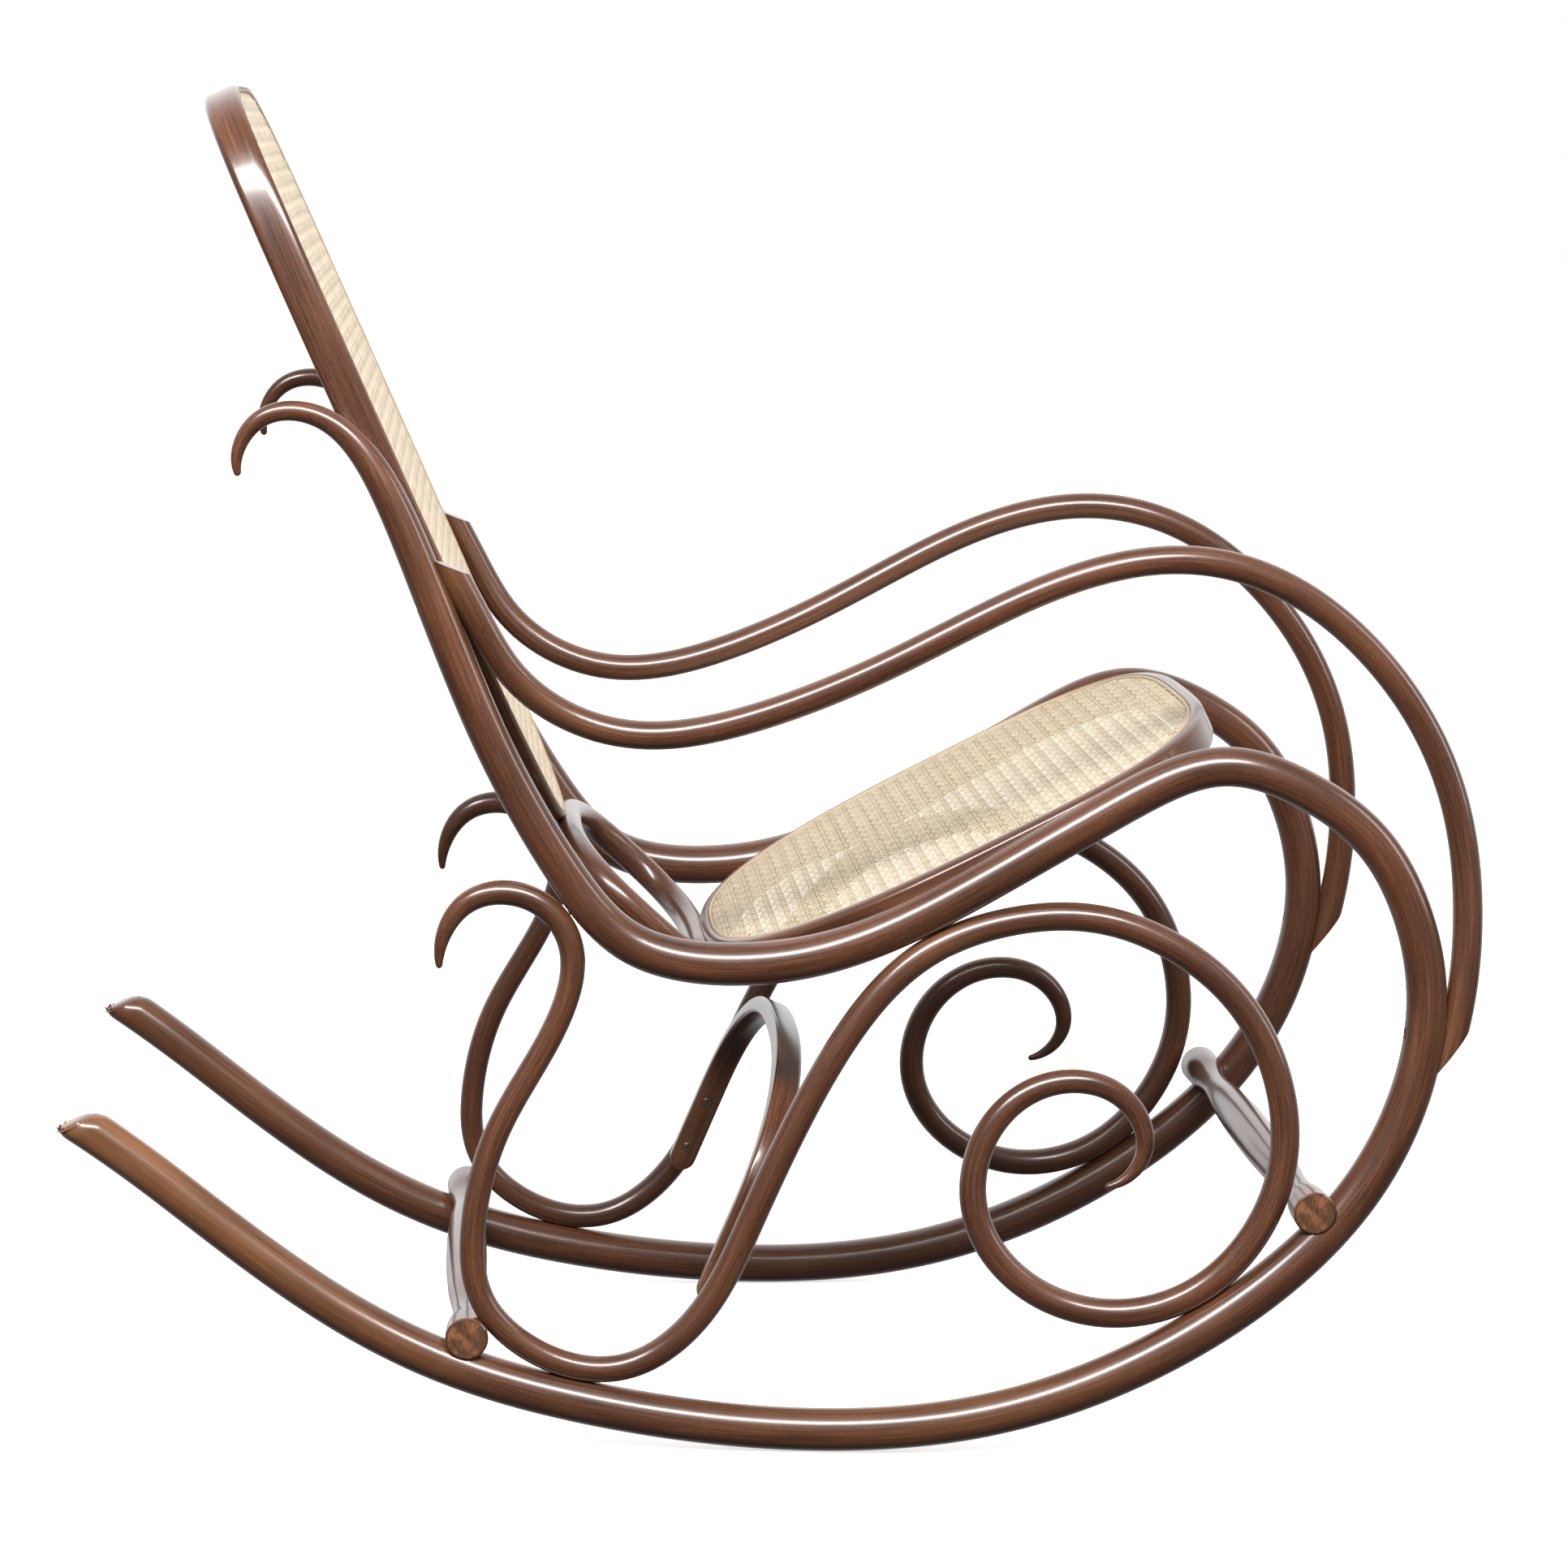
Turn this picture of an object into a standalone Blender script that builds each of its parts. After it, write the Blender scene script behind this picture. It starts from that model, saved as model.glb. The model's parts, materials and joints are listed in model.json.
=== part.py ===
"""Bentwood rocking chair with a caned seat and back.

Metres, +X towards the front of the chair, +Y towards the sitter's left, +Z up, floor at z = 0.
Right-hand pieces lie at -Y and the left-hand ones are their mirror images.
"""

import math

import bmesh
import bpy
from mathutils import Euler, Matrix, Vector

# Everything below is laid out on the workshop drawing.
# X_MID is where the middle of the chair's length lies on it.
X_MID = -0.08776
SETTLE = math.radians(-1.285)  # roll forward from the drawing to the place where the chair comes to rest
FLOOR = 0.00442  # level of the floor on the drawing after that roll
GAP = 0.0003  # clearance between pieces that touch

# Bent rods: control points (x, lateral, z, radius) of a cubic B-spline for the right-hand side.
# Lateral is measured from the middle.
SIDE_RAIL = [
    (-0.477, 0.218, 0.753, 0.0024),
    (-0.482, 0.218, 0.767, 0.0050),
    (-0.466, 0.219, 0.805, 0.0072),
    (-0.410, 0.219, 0.802, 0.0078),
    (-0.371, 0.220, 0.757, 0.0125),
    (-0.335, 0.222, 0.663, 0.0141),
    (-0.290, 0.223, 0.542, 0.0144),
    (-0.234, 0.224, 0.444, 0.0147),
    (-0.187, 0.226, 0.384, 0.0160),
    (-0.089, 0.229, 0.376, 0.0170),
    (-0.005, 0.233, 0.394, 0.0158),
    (0.095, 0.239, 0.449, 0.0160),
    (0.191, 0.243, 0.506, 0.0158),
    (0.262, 0.246, 0.542, 0.0152),
    (0.338, 0.248, 0.509, 0.0148),
    (0.392, 0.250, 0.465, 0.0152),
    (0.425, 0.252, 0.377, 0.0155),
    (0.419, 0.254, 0.291, 0.0158),
    (0.380, 0.256, 0.203, 0.0163),
    (0.311, 0.257, 0.132, 0.0172),
    (0.220, 0.258, 0.074, 0.0174),
    (0.118, 0.257, 0.033, 0.0166),
    (0.012, 0.253, 0.017, 0.0165),
    (-0.103, 0.248, 0.020, 0.0165),
    (-0.218, 0.240, 0.038, 0.0168),
    (-0.326, 0.233, 0.067, 0.0168),
    (-0.421, 0.228, 0.118, 0.0163),
    (-0.514, 0.226, 0.192, 0.0158),
    (-0.575, 0.226, 0.244, 0.0158),
    (-0.622, 0.228, 0.276, 0.0158),
]
SCROLL = [
    (-0.332, 0.225, 0.379, 0.0022),
    (-0.334, 0.225, 0.396, 0.0055),
    (-0.319, 0.224, 0.438, 0.0092),
    (-0.258, 0.225, 0.440, 0.0098),
    (-0.221, 0.226, 0.392, 0.0096),
    (-0.246, 0.228, 0.323, 0.0095),
    (-0.294, 0.231, 0.256, 0.0100),
    (-0.312, 0.234, 0.179, 0.0097),
    (-0.309, 0.237, 0.114, 0.0097),
    (-0.248, 0.239, 0.068, 0.0102),
    (-0.183, 0.241, 0.063, 0.0102),
    (-0.127, 0.242, 0.112, 0.0105),
    (-0.098, 0.243, 0.181, 0.0106),
    (-0.061, 0.242, 0.262, 0.0107),
    (-0.018, 0.239, 0.338, 0.0109),
    (0.035, 0.236, 0.394, 0.0113),
    (0.113, 0.235, 0.417, 0.0110),
    (0.186, 0.237, 0.415, 0.0111),
    (0.259, 0.244, 0.375, 0.0112),
    (0.302, 0.251, 0.318, 0.0112),
    (0.319, 0.257, 0.240, 0.0112),
    (0.297, 0.259, 0.170, 0.0113),
    (0.246, 0.256, 0.116, 0.0114),
    (0.175, 0.250, 0.100, 0.0113),
    (0.108, 0.244, 0.125, 0.0110),
    (0.068, 0.238, 0.182, 0.0106),
    (0.079, 0.233, 0.250, 0.0102),
    (0.128, 0.231, 0.290, 0.0096),
    (0.190, 0.232, 0.284, 0.0090),
    (0.219, 0.235, 0.232, 0.0072),
    (0.193, 0.237, 0.205, 0.0045),
    (0.177, 0.237, 0.203, 0.0022),
]
ARM = [
    (-0.333, 0.220, 0.705, 0.0110),
    (-0.303, 0.219, 0.654, 0.0110),
    (-0.283, 0.211, 0.593, 0.0110),
    (-0.196, 0.207, 0.546, 0.0110),
    (-0.103, 0.217, 0.560, 0.0110),
    (0.008, 0.237, 0.606, 0.0110),
    (0.114, 0.245, 0.666, 0.0110),
    (0.215, 0.238, 0.695, 0.0110),
    (0.309, 0.232, 0.676, 0.0110),
    (0.391, 0.232, 0.608, 0.0110),
    (0.444, 0.237, 0.518, 0.0110),
    (0.458, 0.245, 0.413, 0.0115),
    (0.447, 0.252, 0.325, 0.0115),
    (0.425, 0.253, 0.268, 0.0115),
]

# Caned hoops: the plane of the cane's face passes through the point (x, z) at the slope.
# The rod's middle line is two half lengths with their roundness, the first towards local +X,
# and a half width. The section is a half width and a depth.
SEAT = {
    "point": (0.100, 0.4774),
    "slope": math.radians(26.2),
    "ends": ((0.1790, 3.4), (0.2365, 2.7)),
    "half_width": 0.2205,
    "section": (0.0125, 0.0280),
    "cane_edge": 0.0030,
}
BACK = {
    "point": (-0.3583, 0.7600),
    "slope": math.radians(-66.66),
    "ends": ((0.3155, 2.3), (0.3000, 4.4)),
    "half_width": 0.1980,
    "section": (0.0090, 0.0280),
    "cane_edge": 0.0050,
}
CANE = 0.0024  # thickness of the woven panels
SPLINE_WIDTH = 0.0034  # the cord that locks the cane in its groove
SPLINE_HEIGHT = 0.0052

# The bow between back and seat is a closed oval rod between these two middle points.
BOW_TOP = (-0.2292, 0.4532)
BOW_FOOT = (-0.1245, 0.3545)
BOW_HALF_WIDTH = 0.146
BOW_RADIUS = 0.0112

# The arch under the seat is a flat strip: foot of its legs, lean from upright, its size, its section
# and how square its shoulders are.
ARCH_FOOT = (-0.1310, 0.1135)
ARCH_LEAN = math.radians(23.5)
ARCH_LEG = 0.075
ARCH_RISE = 0.112
ARCH_HALF_WIDTH = 0.2236
ARCH_SECTION = (0.0150, 0.0220)
ARCH_ROUNDNESS = 2.4
ARCH_STEPS = 18

# Turned cross rails: middle (x, z) and half length.
# The turning is (share of the half length, radius) from the middle to the end.
STRETCHERS = {"rear": (-0.3145, 0.0955, 0.249), "front": (0.3342, 0.1876, 0.271)}
TURNING = [
    (0.0, 0.0166),
    (0.20, 0.0164),
    (0.45, 0.0146),
    (0.66, 0.0108),
    (0.78, 0.0116),
    (0.88, 0.0158),
    (1.0, 0.0165),
]

SCREW_RADIUS = 0.0021
SCREW_HEAD = (0.0042, 0.0028)


def clear_scene():
    for obj in list(bpy.data.objects):
        bpy.data.objects.remove(obj)


clear_scene()
CHAIR = bpy.data.collections.new("rocking_chair")
CUTTERS = bpy.data.collections.new("cutters")
for made in (CHAIR, CUTTERS):
    bpy.context.scene.collection.children.link(made)
CUTTERS.hide_render = True


def material(name, color, roughness, metallic=0.0):
    made = bpy.data.materials.new(name)
    made.use_nodes = True
    shader = made.node_tree.nodes["Principled BSDF"]
    shader.inputs["Base Color"].default_value = (*color, 1.0)
    shader.inputs["Roughness"].default_value = roughness
    shader.inputs["Metallic"].default_value = metallic
    return made


def add(name, data, color, roughness=0.35, metallic=0.0, collection=None):
    obj = bpy.data.objects.new(name, data)
    (collection or CHAIR).objects.link(obj)
    if collection is None:
        data.materials.append(material(name, color, roughness, metallic))
    else:
        obj.hide_render = True
        obj.display_type = "WIRE"
    return obj


WOOD = (0.115, 0.042, 0.022)
WOOD_ENDS = (0.20, 0.085, 0.04)
CANE_COLOR = (0.72, 0.60, 0.40)
STEEL = (0.55, 0.53, 0.50)


def as_mesh(obj):
    """Turns a curve object into a mesh object with the caps joined to the wall."""
    bpy.context.view_layer.update()
    evaluated = obj.evaluated_get(bpy.context.evaluated_depsgraph_get())
    mesh = bpy.data.meshes.new_from_object(evaluated)
    place = obj.matrix_world.copy()
    name, home, hidden = obj.name, obj.users_collection[0], obj.hide_render
    bpy.data.objects.remove(obj)
    shape = bmesh.new()
    shape.from_mesh(mesh)
    shape.transform(place)
    bmesh.ops.remove_doubles(shape, verts=shape.verts, dist=1e-5)
    bmesh.ops.recalc_face_normals(shape, faces=shape.faces)
    shape.to_mesh(mesh)
    shape.free()
    for face in mesh.polygons:
        face.use_smooth = True
    made = bpy.data.objects.new(name, mesh)
    home.objects.link(made)
    made.hide_render = hidden
    if hidden:
        made.display_type = "WIRE"
    return made


def rod(name, points, side, sides_level, steps, grow=0.0, collection=None):
    """A bent rod swept along a B-spline; side is -1 for the right hand and +1 for the left."""
    path = bpy.data.curves.new(name, "CURVE")
    path.dimensions = "3D"
    path.resolution_u = steps
    path.bevel_depth = 1.0
    path.bevel_resolution = sides_level
    path.use_fill_caps = True
    line = path.splines.new("NURBS")
    line.points.add(len(points) - 1)
    for point, (x, lateral, z, radius) in zip(line.points, points):
        point.co = (x - X_MID, side * lateral, z, 1.0)
        point.radius = radius + grow
    line.order_u = 4
    line.use_endpoint_u = True
    return as_mesh(add(name, path, WOOD, collection=collection))


def profile(name, outline):
    """A closed section for a sweep, given in metres outwards from the swept line and up."""
    shape = bpy.data.curves.new(name, "CURVE")
    shape.dimensions = "2D"
    shape.fill_mode = "NONE"
    line = shape.splines.new("POLY")
    line.points.add(len(outline) - 1)
    for point, (across, up) in zip(line.points, outline):
        point.co = (-across, up, 0.0, 1.0)
    line.use_cyclic_u = True
    return add(name, shape, WOOD, collection=CUTTERS)


def sweep(name, outline, section, place, closed, color=WOOD, roughness=0.35):
    """Sweeps a section along a flat line; the line lies in the object's own XY plane."""
    path = bpy.data.curves.new(name, "CURVE")
    path.dimensions = "2D"
    path.fill_mode = "NONE"
    path.bevel_mode = "OBJECT"
    path.bevel_object = section
    path.use_fill_caps = not closed
    line = path.splines.new("POLY")
    line.points.add(len(outline) - 1)
    for point, (x, y) in zip(line.points, outline):
        point.co = (x, y, 0.0, 1.0)
    line.use_cyclic_u = closed
    obj = add(name, path, color, roughness)
    obj.matrix_world = place
    return as_mesh(obj)


def oval(half_width, ends, count):
    """A rounded outline: each half is a superellipse with its own half length and roundness."""
    outline = []
    for step in range(4 * count):
        turn = math.tau * step / (4 * count)
        half_length, power = ends[0] if math.cos(turn) > 0 else ends[1]
        x = half_length * math.copysign(abs(math.cos(turn)) ** (2 / power), math.cos(turn))
        y = half_width * math.copysign(abs(math.sin(turn)) ** (2 / power), math.sin(turn))
        outline.append((x, y))
    return even(outline, count)


def even(outline, count):
    """The same closed outline with its points spread evenly along it."""
    ring = [Vector(point) for point in outline] + [Vector(outline[0])]
    run = [0.0]
    for a, b in zip(ring, ring[1:]):
        run.append(run[-1] + (b - a).length)
    spread = []
    for step in range(count):
        want = run[-1] * step / count
        k = max(i for i in range(len(outline)) if run[i] <= want)
        share = (want - run[k]) / (run[k + 1] - run[k])
        spread.append(tuple(ring[k].lerp(ring[k + 1], share)))
    return spread


def offset(outline, grow):
    """The closed outline moved outwards by grow."""
    moved = []
    count = len(outline)
    for i in range(count):
        before = Vector(outline[i - 1])
        after = Vector(outline[(i + 1) % count])
        along = (after - before).normalized()
        moved.append((outline[i][0] + along.y * grow, outline[i][1] - along.x * grow))
    return moved


def tilted(point, slope):
    """A frame whose X axis rises forwards at the slope from the point (x, z)."""
    turn = Euler((0.0, -slope, 0.0)).to_matrix().to_4x4()
    return Matrix.Translation((point[0] - X_MID, 0.0, point[1])) @ turn


def plate(name, outline, thickness, place, color, roughness=0.6):
    """A flat panel filling the outline, its upper face in the local XY plane."""
    shape = bpy.data.curves.new(name, "CURVE")
    shape.dimensions = "2D"
    shape.fill_mode = "BOTH"
    shape.extrude = thickness / 2
    line = shape.splines.new("POLY")
    line.points.add(len(outline) - 1)
    for point, (x, y) in zip(line.points, outline):
        point.co = (x, y, 0.0, 1.0)
    line.use_cyclic_u = True
    obj = add(name, shape, color, roughness)
    obj.matrix_world = place @ Matrix.Translation((0, 0, -thickness / 2))
    made = as_mesh(obj)
    for face in made.data.polygons:
        face.use_smooth = False
    return made


def cut(obj, cutter):
    """Takes the cutter out of the object at once."""
    step = obj.modifiers.new("cut", "BOOLEAN")
    step.operation = "DIFFERENCE"
    step.solver = "EXACT"
    step.object = cutter
    bpy.context.view_layer.update()
    mesh = bpy.data.meshes.new_from_object(obj.evaluated_get(bpy.context.evaluated_depsgraph_get()))
    obj.modifiers.clear()
    obj.data = mesh
    shape = bmesh.new()
    shape.from_mesh(mesh)
    bmesh.ops.remove_doubles(shape, verts=shape.verts, dist=2e-6)
    bmesh.ops.dissolve_degenerate(shape, edges=shape.edges, dist=2e-6)
    shape.to_mesh(mesh)
    shape.free()


def block(name, point, angle, size):
    """A cutting block whose lower face lies in a plane through (x, z), turned about the lateral axis."""
    mesh = bpy.data.meshes.new(name)
    shape = bmesh.new()
    bmesh.ops.create_cube(shape, size=1.0)
    bmesh.ops.scale(shape, vec=(size, 1.2, size), verts=shape.verts)
    bmesh.ops.translate(shape, vec=(0, 0, size / 2), verts=shape.verts)
    shape.to_mesh(mesh)
    shape.free()
    obj = add(name, mesh, WOOD, collection=CUTTERS)
    obj.location = (point[0] - X_MID, 0.0, point[1])
    obj.rotation_euler = (0.0, -angle, 0.0)
    return obj


def turned_solid(name, rings, sides, start, direction, color, collection=None):
    """A round solid built from (height, radius) rings, standing on start and pointing along direction."""
    mesh = bpy.data.meshes.new(name)
    shape = bmesh.new()
    loops = []
    for height, reach in rings:
        turns = [math.tau * k / sides for k in range(sides)]
        loops.append([shape.verts.new((reach * math.cos(t), reach * math.sin(t), height)) for t in turns])
    for low, high in zip(loops, loops[1:]):
        for k in range(sides):
            after = (k + 1) % sides
            shape.faces.new((low[k], low[after], high[after], high[k]))
    shape.faces.new(list(reversed(loops[0])))
    shape.faces.new(loops[-1])
    shape.to_mesh(mesh)
    shape.free()
    for face in mesh.polygons:
        face.use_smooth = len(face.vertices) == 4
    obj = add(name, mesh, color, 0.35, 1.0 if color is STEEL else 0.0, collection)
    obj.rotation_mode = "QUATERNION"
    obj.rotation_quaternion = Vector(direction).to_track_quat("Z", "Y")
    obj.location = start
    bpy.context.view_layer.update()
    return obj


def screw(name, start, direction, length, hosts):
    """A countersunk wood screw, its head flush at start, and its hole in each piece that it passes."""
    direction = Vector(direction).normalized()
    start = Vector(start)
    reach, depth = SCREW_HEAD
    shank = [(0.0, reach), (depth, SCREW_RADIUS), (length, SCREW_RADIUS)]
    turned_solid(name, shank, 10, start, direction, STEEL)
    rings = [
        (-0.004, reach + GAP),
        (0.0005, reach + GAP),
        (depth + GAP, SCREW_RADIUS + GAP),
        (length + GAP, SCREW_RADIUS + GAP),
    ]
    hole = turned_solid(name + "_hole", rings, 10, start, direction, WOOD, CUTTERS)
    for host in hosts:
        cut(host, hole)


def tie(name, side, first, second, depth, hosts):
    """A screw from the first rod's far face into the second.

    first = (x, lateral, z, radius), second = (x, lateral, z).
    """
    a = Vector((first[0] - X_MID, side * first[1], first[2]))
    b = Vector((second[0] - X_MID, side * second[1], second[2]))
    along = (b - a).normalized()
    screw(name, a - (first[3] - 0.0012) * along, along, 2 * first[3] + depth, hosts)


def limb(half_width, depth, cane_edge, corner, crown):
    """Section of a caned hoop's rod: rebate for the cane, groove for its spline, rounded elsewhere."""
    groove = cane_edge - SPLINE_WIDTH - GAP
    outline = []
    for quarter, (across, up) in enumerate(((-1, -1), (1, -1))):
        for step in range(4):
            turn = math.pi * (1 + quarter / 2 + step / 6)
            x = across * (half_width - corner) + corner * math.cos(turn)
            outline.append((x, up * (depth - corner) + corner * math.sin(turn)))
    wide = half_width - cane_edge - GAP
    for step in range(4):
        turn = math.pi * step / 6
        x = half_width - wide + wide * math.cos(turn)
        outline.append((x, crown * (math.sin(turn) - 1) + 0.0004))
    floor = -SPLINE_HEIGHT - GAP + 0.0003
    ledge = -CANE - GAP
    outline += [(cane_edge + GAP, floor), (groove, floor), (groove, ledge)]
    outline += [
        (0.003 - half_width, ledge),
        (0.0009 - half_width, ledge - 0.0012),
        (-half_width, ledge - 0.004),
    ]
    return outline


def caned_hoop(name, shape, corner, crown, count):
    """A bent hoop, the woven panel in its rebate and the cord that holds the panel."""
    place = tilted(shape["point"], shape["slope"])
    middle = oval(shape["half_width"], shape["ends"], count)
    half_width, depth = shape["section"]
    edge = shape["cane_edge"]
    section = profile(name + "_section", limb(half_width, depth, edge, corner, crown))
    frame = sweep(name + "_frame", middle, section, place, True)
    half = SPLINE_WIDTH / 2
    square = [
        (-half, 0.0003 - SPLINE_HEIGHT),
        (half, 0.0003 - SPLINE_HEIGHT),
        (half, -0.0004),
        (0.0, 0.0003),
        (-half, -0.0004),
    ]
    cord = profile(name + "_cord", square)
    sweep(name + "_spline", offset(middle, edge - half), cord, place, True, CANE_COLOR, 0.6)
    plate(name + "_cane", offset(middle, edge - SPLINE_WIDTH - GAP), CANE, place, CANE_COLOR)
    return frame


# --- side frames: rail and runner in one bent rod, arm and scroll on it -----------------------

rails, arms, scrolls = {}, {}, {}
tip_cut = block("tip_cut", (-0.6191, 0.2620), math.radians(24.4), 0.2)
arm_rear_cut = block("arm_rear_cut", (-0.327, 0.687), math.radians(-22), 0.2)
arm_front_cut = block("arm_front_cut", (0.449, 0.319), math.radians(231), 0.2)
for hand, side in (("right", -1), ("left", 1)):
    rails[hand] = rod("side_rail_" + hand, SIDE_RAIL, side, 3, 3)
    cut(rails[hand], tip_cut)
    clearance = rod("rail_clearance_" + hand, SIDE_RAIL, side, 3, 3, GAP, CUTTERS)
    arms[hand] = rod("arm_" + hand, ARM, side, 2, 3)
    cut(arms[hand], arm_rear_cut)
    cut(arms[hand], arm_front_cut)
    cut(arms[hand], clearance)
    scrolls[hand] = rod("scroll_" + hand, SCROLL, side, 2, 3)
    cut(scrolls[hand], clearance)

# --- seat and back ----------------------------------------------------------------------------

seat_frame = caned_hoop("seat", SEAT, 0.0075, 0.0055, 48)
back_frame = caned_hoop("back", BACK, 0.0055, 0.0080, 48)
for hand in rails:
    cut(seat_frame, bpy.data.objects["rail_clearance_" + hand])
    cut(back_frame, bpy.data.objects["rail_clearance_" + hand])

# --- bow between the back and the seat --------------------------------------------------------

bow_line = Vector(BOW_FOOT) - Vector(BOW_TOP)
bow_place = tilted((Vector(BOW_TOP) + Vector(BOW_FOOT)) / 2, math.atan2(bow_line.y, bow_line.x))
bow_ends = ((bow_line.length / 2, 2.8), (bow_line.length / 2, 2.8))
bow_outline = oval(BOW_HALF_WIDTH, bow_ends, 40)


def circle(radius, sides):
    turns = [math.tau * k / sides for k in range(sides)]
    return [(radius * math.cos(turn), radius * math.sin(turn)) for turn in turns]


bow_section = profile("bow_section", circle(BOW_RADIUS, 10))
bow = sweep("back_bow", bow_outline, bow_section, bow_place, True)
wide_section = profile("bow_room", circle(BOW_RADIUS + GAP, 10))
wide_bow = sweep("bow_clearance", bow_outline, wide_section, bow_place, True)
CHAIR.objects.unlink(wide_bow)
CUTTERS.objects.link(wide_bow)
wide_bow.hide_render = True
wide_bow.display_type = "WIRE"
cut(seat_frame, wide_bow)
cut(back_frame, wide_bow)

# --- arch under the seat ----------------------------------------------------------------------

arch_outline = [(0.0, ARCH_HALF_WIDTH), (ARCH_LEG, ARCH_HALF_WIDTH)]
power = 2 / ARCH_ROUNDNESS
for step in range(1, ARCH_STEPS):
    turn = math.pi * (0.5 - step / ARCH_STEPS)
    x = ARCH_LEG + ARCH_RISE * abs(math.cos(turn)) ** power
    y = ARCH_HALF_WIDTH * math.copysign(abs(math.sin(turn)) ** power, math.sin(turn))
    arch_outline.append((x, y))
arch_outline += [(ARCH_LEG, -ARCH_HALF_WIDTH), (0.0, -ARCH_HALF_WIDTH)]
half_thick, half_wide = ARCH_SECTION[0] / 2, ARCH_SECTION[1] / 2
strip = [
    (-half_thick, -half_wide + 0.003),
    (-half_thick + 0.003, -half_wide),
    (half_thick - 0.004, -half_wide),
    (half_thick, -half_wide + 0.005),
    (half_thick, half_wide - 0.005),
    (half_thick - 0.004, half_wide),
    (-half_thick + 0.003, half_wide),
    (-half_thick, half_wide - 0.003),
]
arch_place = tilted(ARCH_FOOT, math.pi / 2 - ARCH_LEAN)
arch = sweep("seat_arch", arch_outline, profile("strip_section", strip), arch_place, False)
for hand, side in (("right", -1), ("left", 1)):
    cut(arch, rod("scroll_clearance_" + hand, SCROLL, side, 2, 3, GAP, CUTTERS))

# --- turned stretchers ------------------------------------------------------------------------

stretchers = {}
for name, (x, z, half_length) in STRETCHERS.items():
    shape = [(-half_length * share, radius) for share, radius in reversed(TURNING)]
    shape += [(half_length * share, radius) for share, radius in TURNING[1:]]
    wide = [(y, radius + GAP) for y, radius in shape]
    wide[0] = (-1.05 * half_length, wide[0][1])
    wide[-1] = (1.05 * half_length, wide[-1][1])
    middle = (x - X_MID, 0.0, z)
    stretchers[name] = turned_solid("stretcher_" + name, shape, 16, middle, (0, 1, 0), WOOD_ENDS)
    room = turned_solid("room_" + name, wide, 16, middle, (0, 1, 0), WOOD, CUTTERS)
    for hand in rails:
        cut(rails[hand], room)
        cut(scrolls[hand], room)

# --- screws -----------------------------------------------------------------------------------

SCROLL_TIES = {
    "hook": ((-0.2414, 0.2255, 0.4147, 0.0096), (-0.2209, 0.2246, 0.4293), "scroll"),
    "loop": ((-0.2378, 0.2388, 0.0446, 0.0168), (-0.2320, 0.2394, 0.0699), "rail"),
    "seat": ((0.0500, 0.2360, 0.3938, 0.0112), (0.0375, 0.2356, 0.4183), "scroll"),
    "spiral": ((0.2617, 0.2575, 0.1017, 0.0173), (0.2467, 0.2558, 0.1248), "rail"),
}
ARM_TIES = {
    "back": ((-0.3336, 0.2218, 0.6590, 0.0139), (-0.3110, 0.2184, 0.6670), 0.009),
    "front": ((0.4195, 0.2533, 0.3230, 0.0157), (0.4420, 0.2512, 0.3215), 0.009),
}
STRETCHER_TIES = {
    "rear": ((-0.3248, 0.2335, 0.0711, 0.0167), (-0.3145, 0.2335, 0.0955), 0.008),
    "front": ((0.3499, 0.2564, 0.1741, 0.0170), (0.3342, 0.2564, 0.1876), 0.004),
}
for hand, side in (("right", -1), ("left", 1)):
    rail, arm, scroll = rails[hand], arms[hand], scrolls[hand]
    for place, (first, second, start) in SCROLL_TIES.items():
        depth = 0.007 if start == "rail" else 0.010
        tie(f"screw_scroll_{place}_{hand}", side, first, second, depth, (rail, scroll))
    for place, (first, second, depth) in ARM_TIES.items():
        tie(f"screw_arm_{place}_{hand}", side, first, second, depth, (rail, arm))
    for place, (first, second, depth) in STRETCHER_TIES.items():
        hosts = (rail, stretchers[place])
        tie(f"screw_stretcher_{place}_{hand}", side, first, second, depth, hosts)
    for level, x, z in (("upper", -0.3500, 0.6930), ("lower", -0.2950, 0.5600)):
        start = (x - X_MID, side * 0.1902, z)
        screw(f"screw_back_{level}_{hand}", start, (0, side, 0), 0.030, (back_frame, rail))
    for place, x, z in (("front", 0.1800, 0.4985), ("rear", 0.0200, 0.4180)):
        start = (x - X_MID, side * 0.2092, z)
        screw(f"screw_seat_{place}_{hand}", start, (0, side, 0), 0.030, (seat_frame, rail))
    for level, reach in (("upper", 0.064), ("lower", 0.021)):
        x = ARCH_FOOT[0] + reach * math.sin(ARCH_LEAN)
        z = ARCH_FOOT[1] + reach * math.cos(ARCH_LEAN)
        start = (x - X_MID, side * (ARCH_HALF_WIDTH - ARCH_SECTION[0] / 2 + 0.0002), z)
        screw(f"screw_arch_{level}_{hand}", start, (0, side, 0), 0.024, (arch, scroll))

for place, frame, shape, middle, turn, length in (
    ("back", back_frame, BACK, BOW_TOP, math.radians(205), 0.028),
    ("seat", seat_frame, SEAT, BOW_FOOT, math.radians(-12), 0.032),
):
    aim = shape["slope"] + turn
    along = Vector((math.cos(aim), 0.0, math.sin(aim)))
    start = Vector((middle[0] - X_MID, 0.0, middle[1])) - (BOW_RADIUS - 0.0012) * along
    screw("screw_bow_" + place, start, along, length, (bow, frame))

# The whole chair rolls on its runners until its weight is over the spot that touches the floor.
settled = Matrix.Translation((0, 0, -FLOOR)) @ Euler((0, SETTLE, 0)).to_matrix().to_4x4()
for obj in CHAIR.objects:
    obj.matrix_world = settled @ obj.matrix_world
bpy.context.view_layer.update()
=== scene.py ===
"""Looks of the bentwood rocking chair: smooth bent rods, woven cane, screws, light and camera.

Metres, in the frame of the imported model: +X towards the chair's front, +Y its left, +Z up.
"""
import json
import math
import random

import bmesh
import bpy
import numpy as np
from mathutils import Euler, Matrix, Vector
from mathutils.kdtree import KDTree

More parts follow.
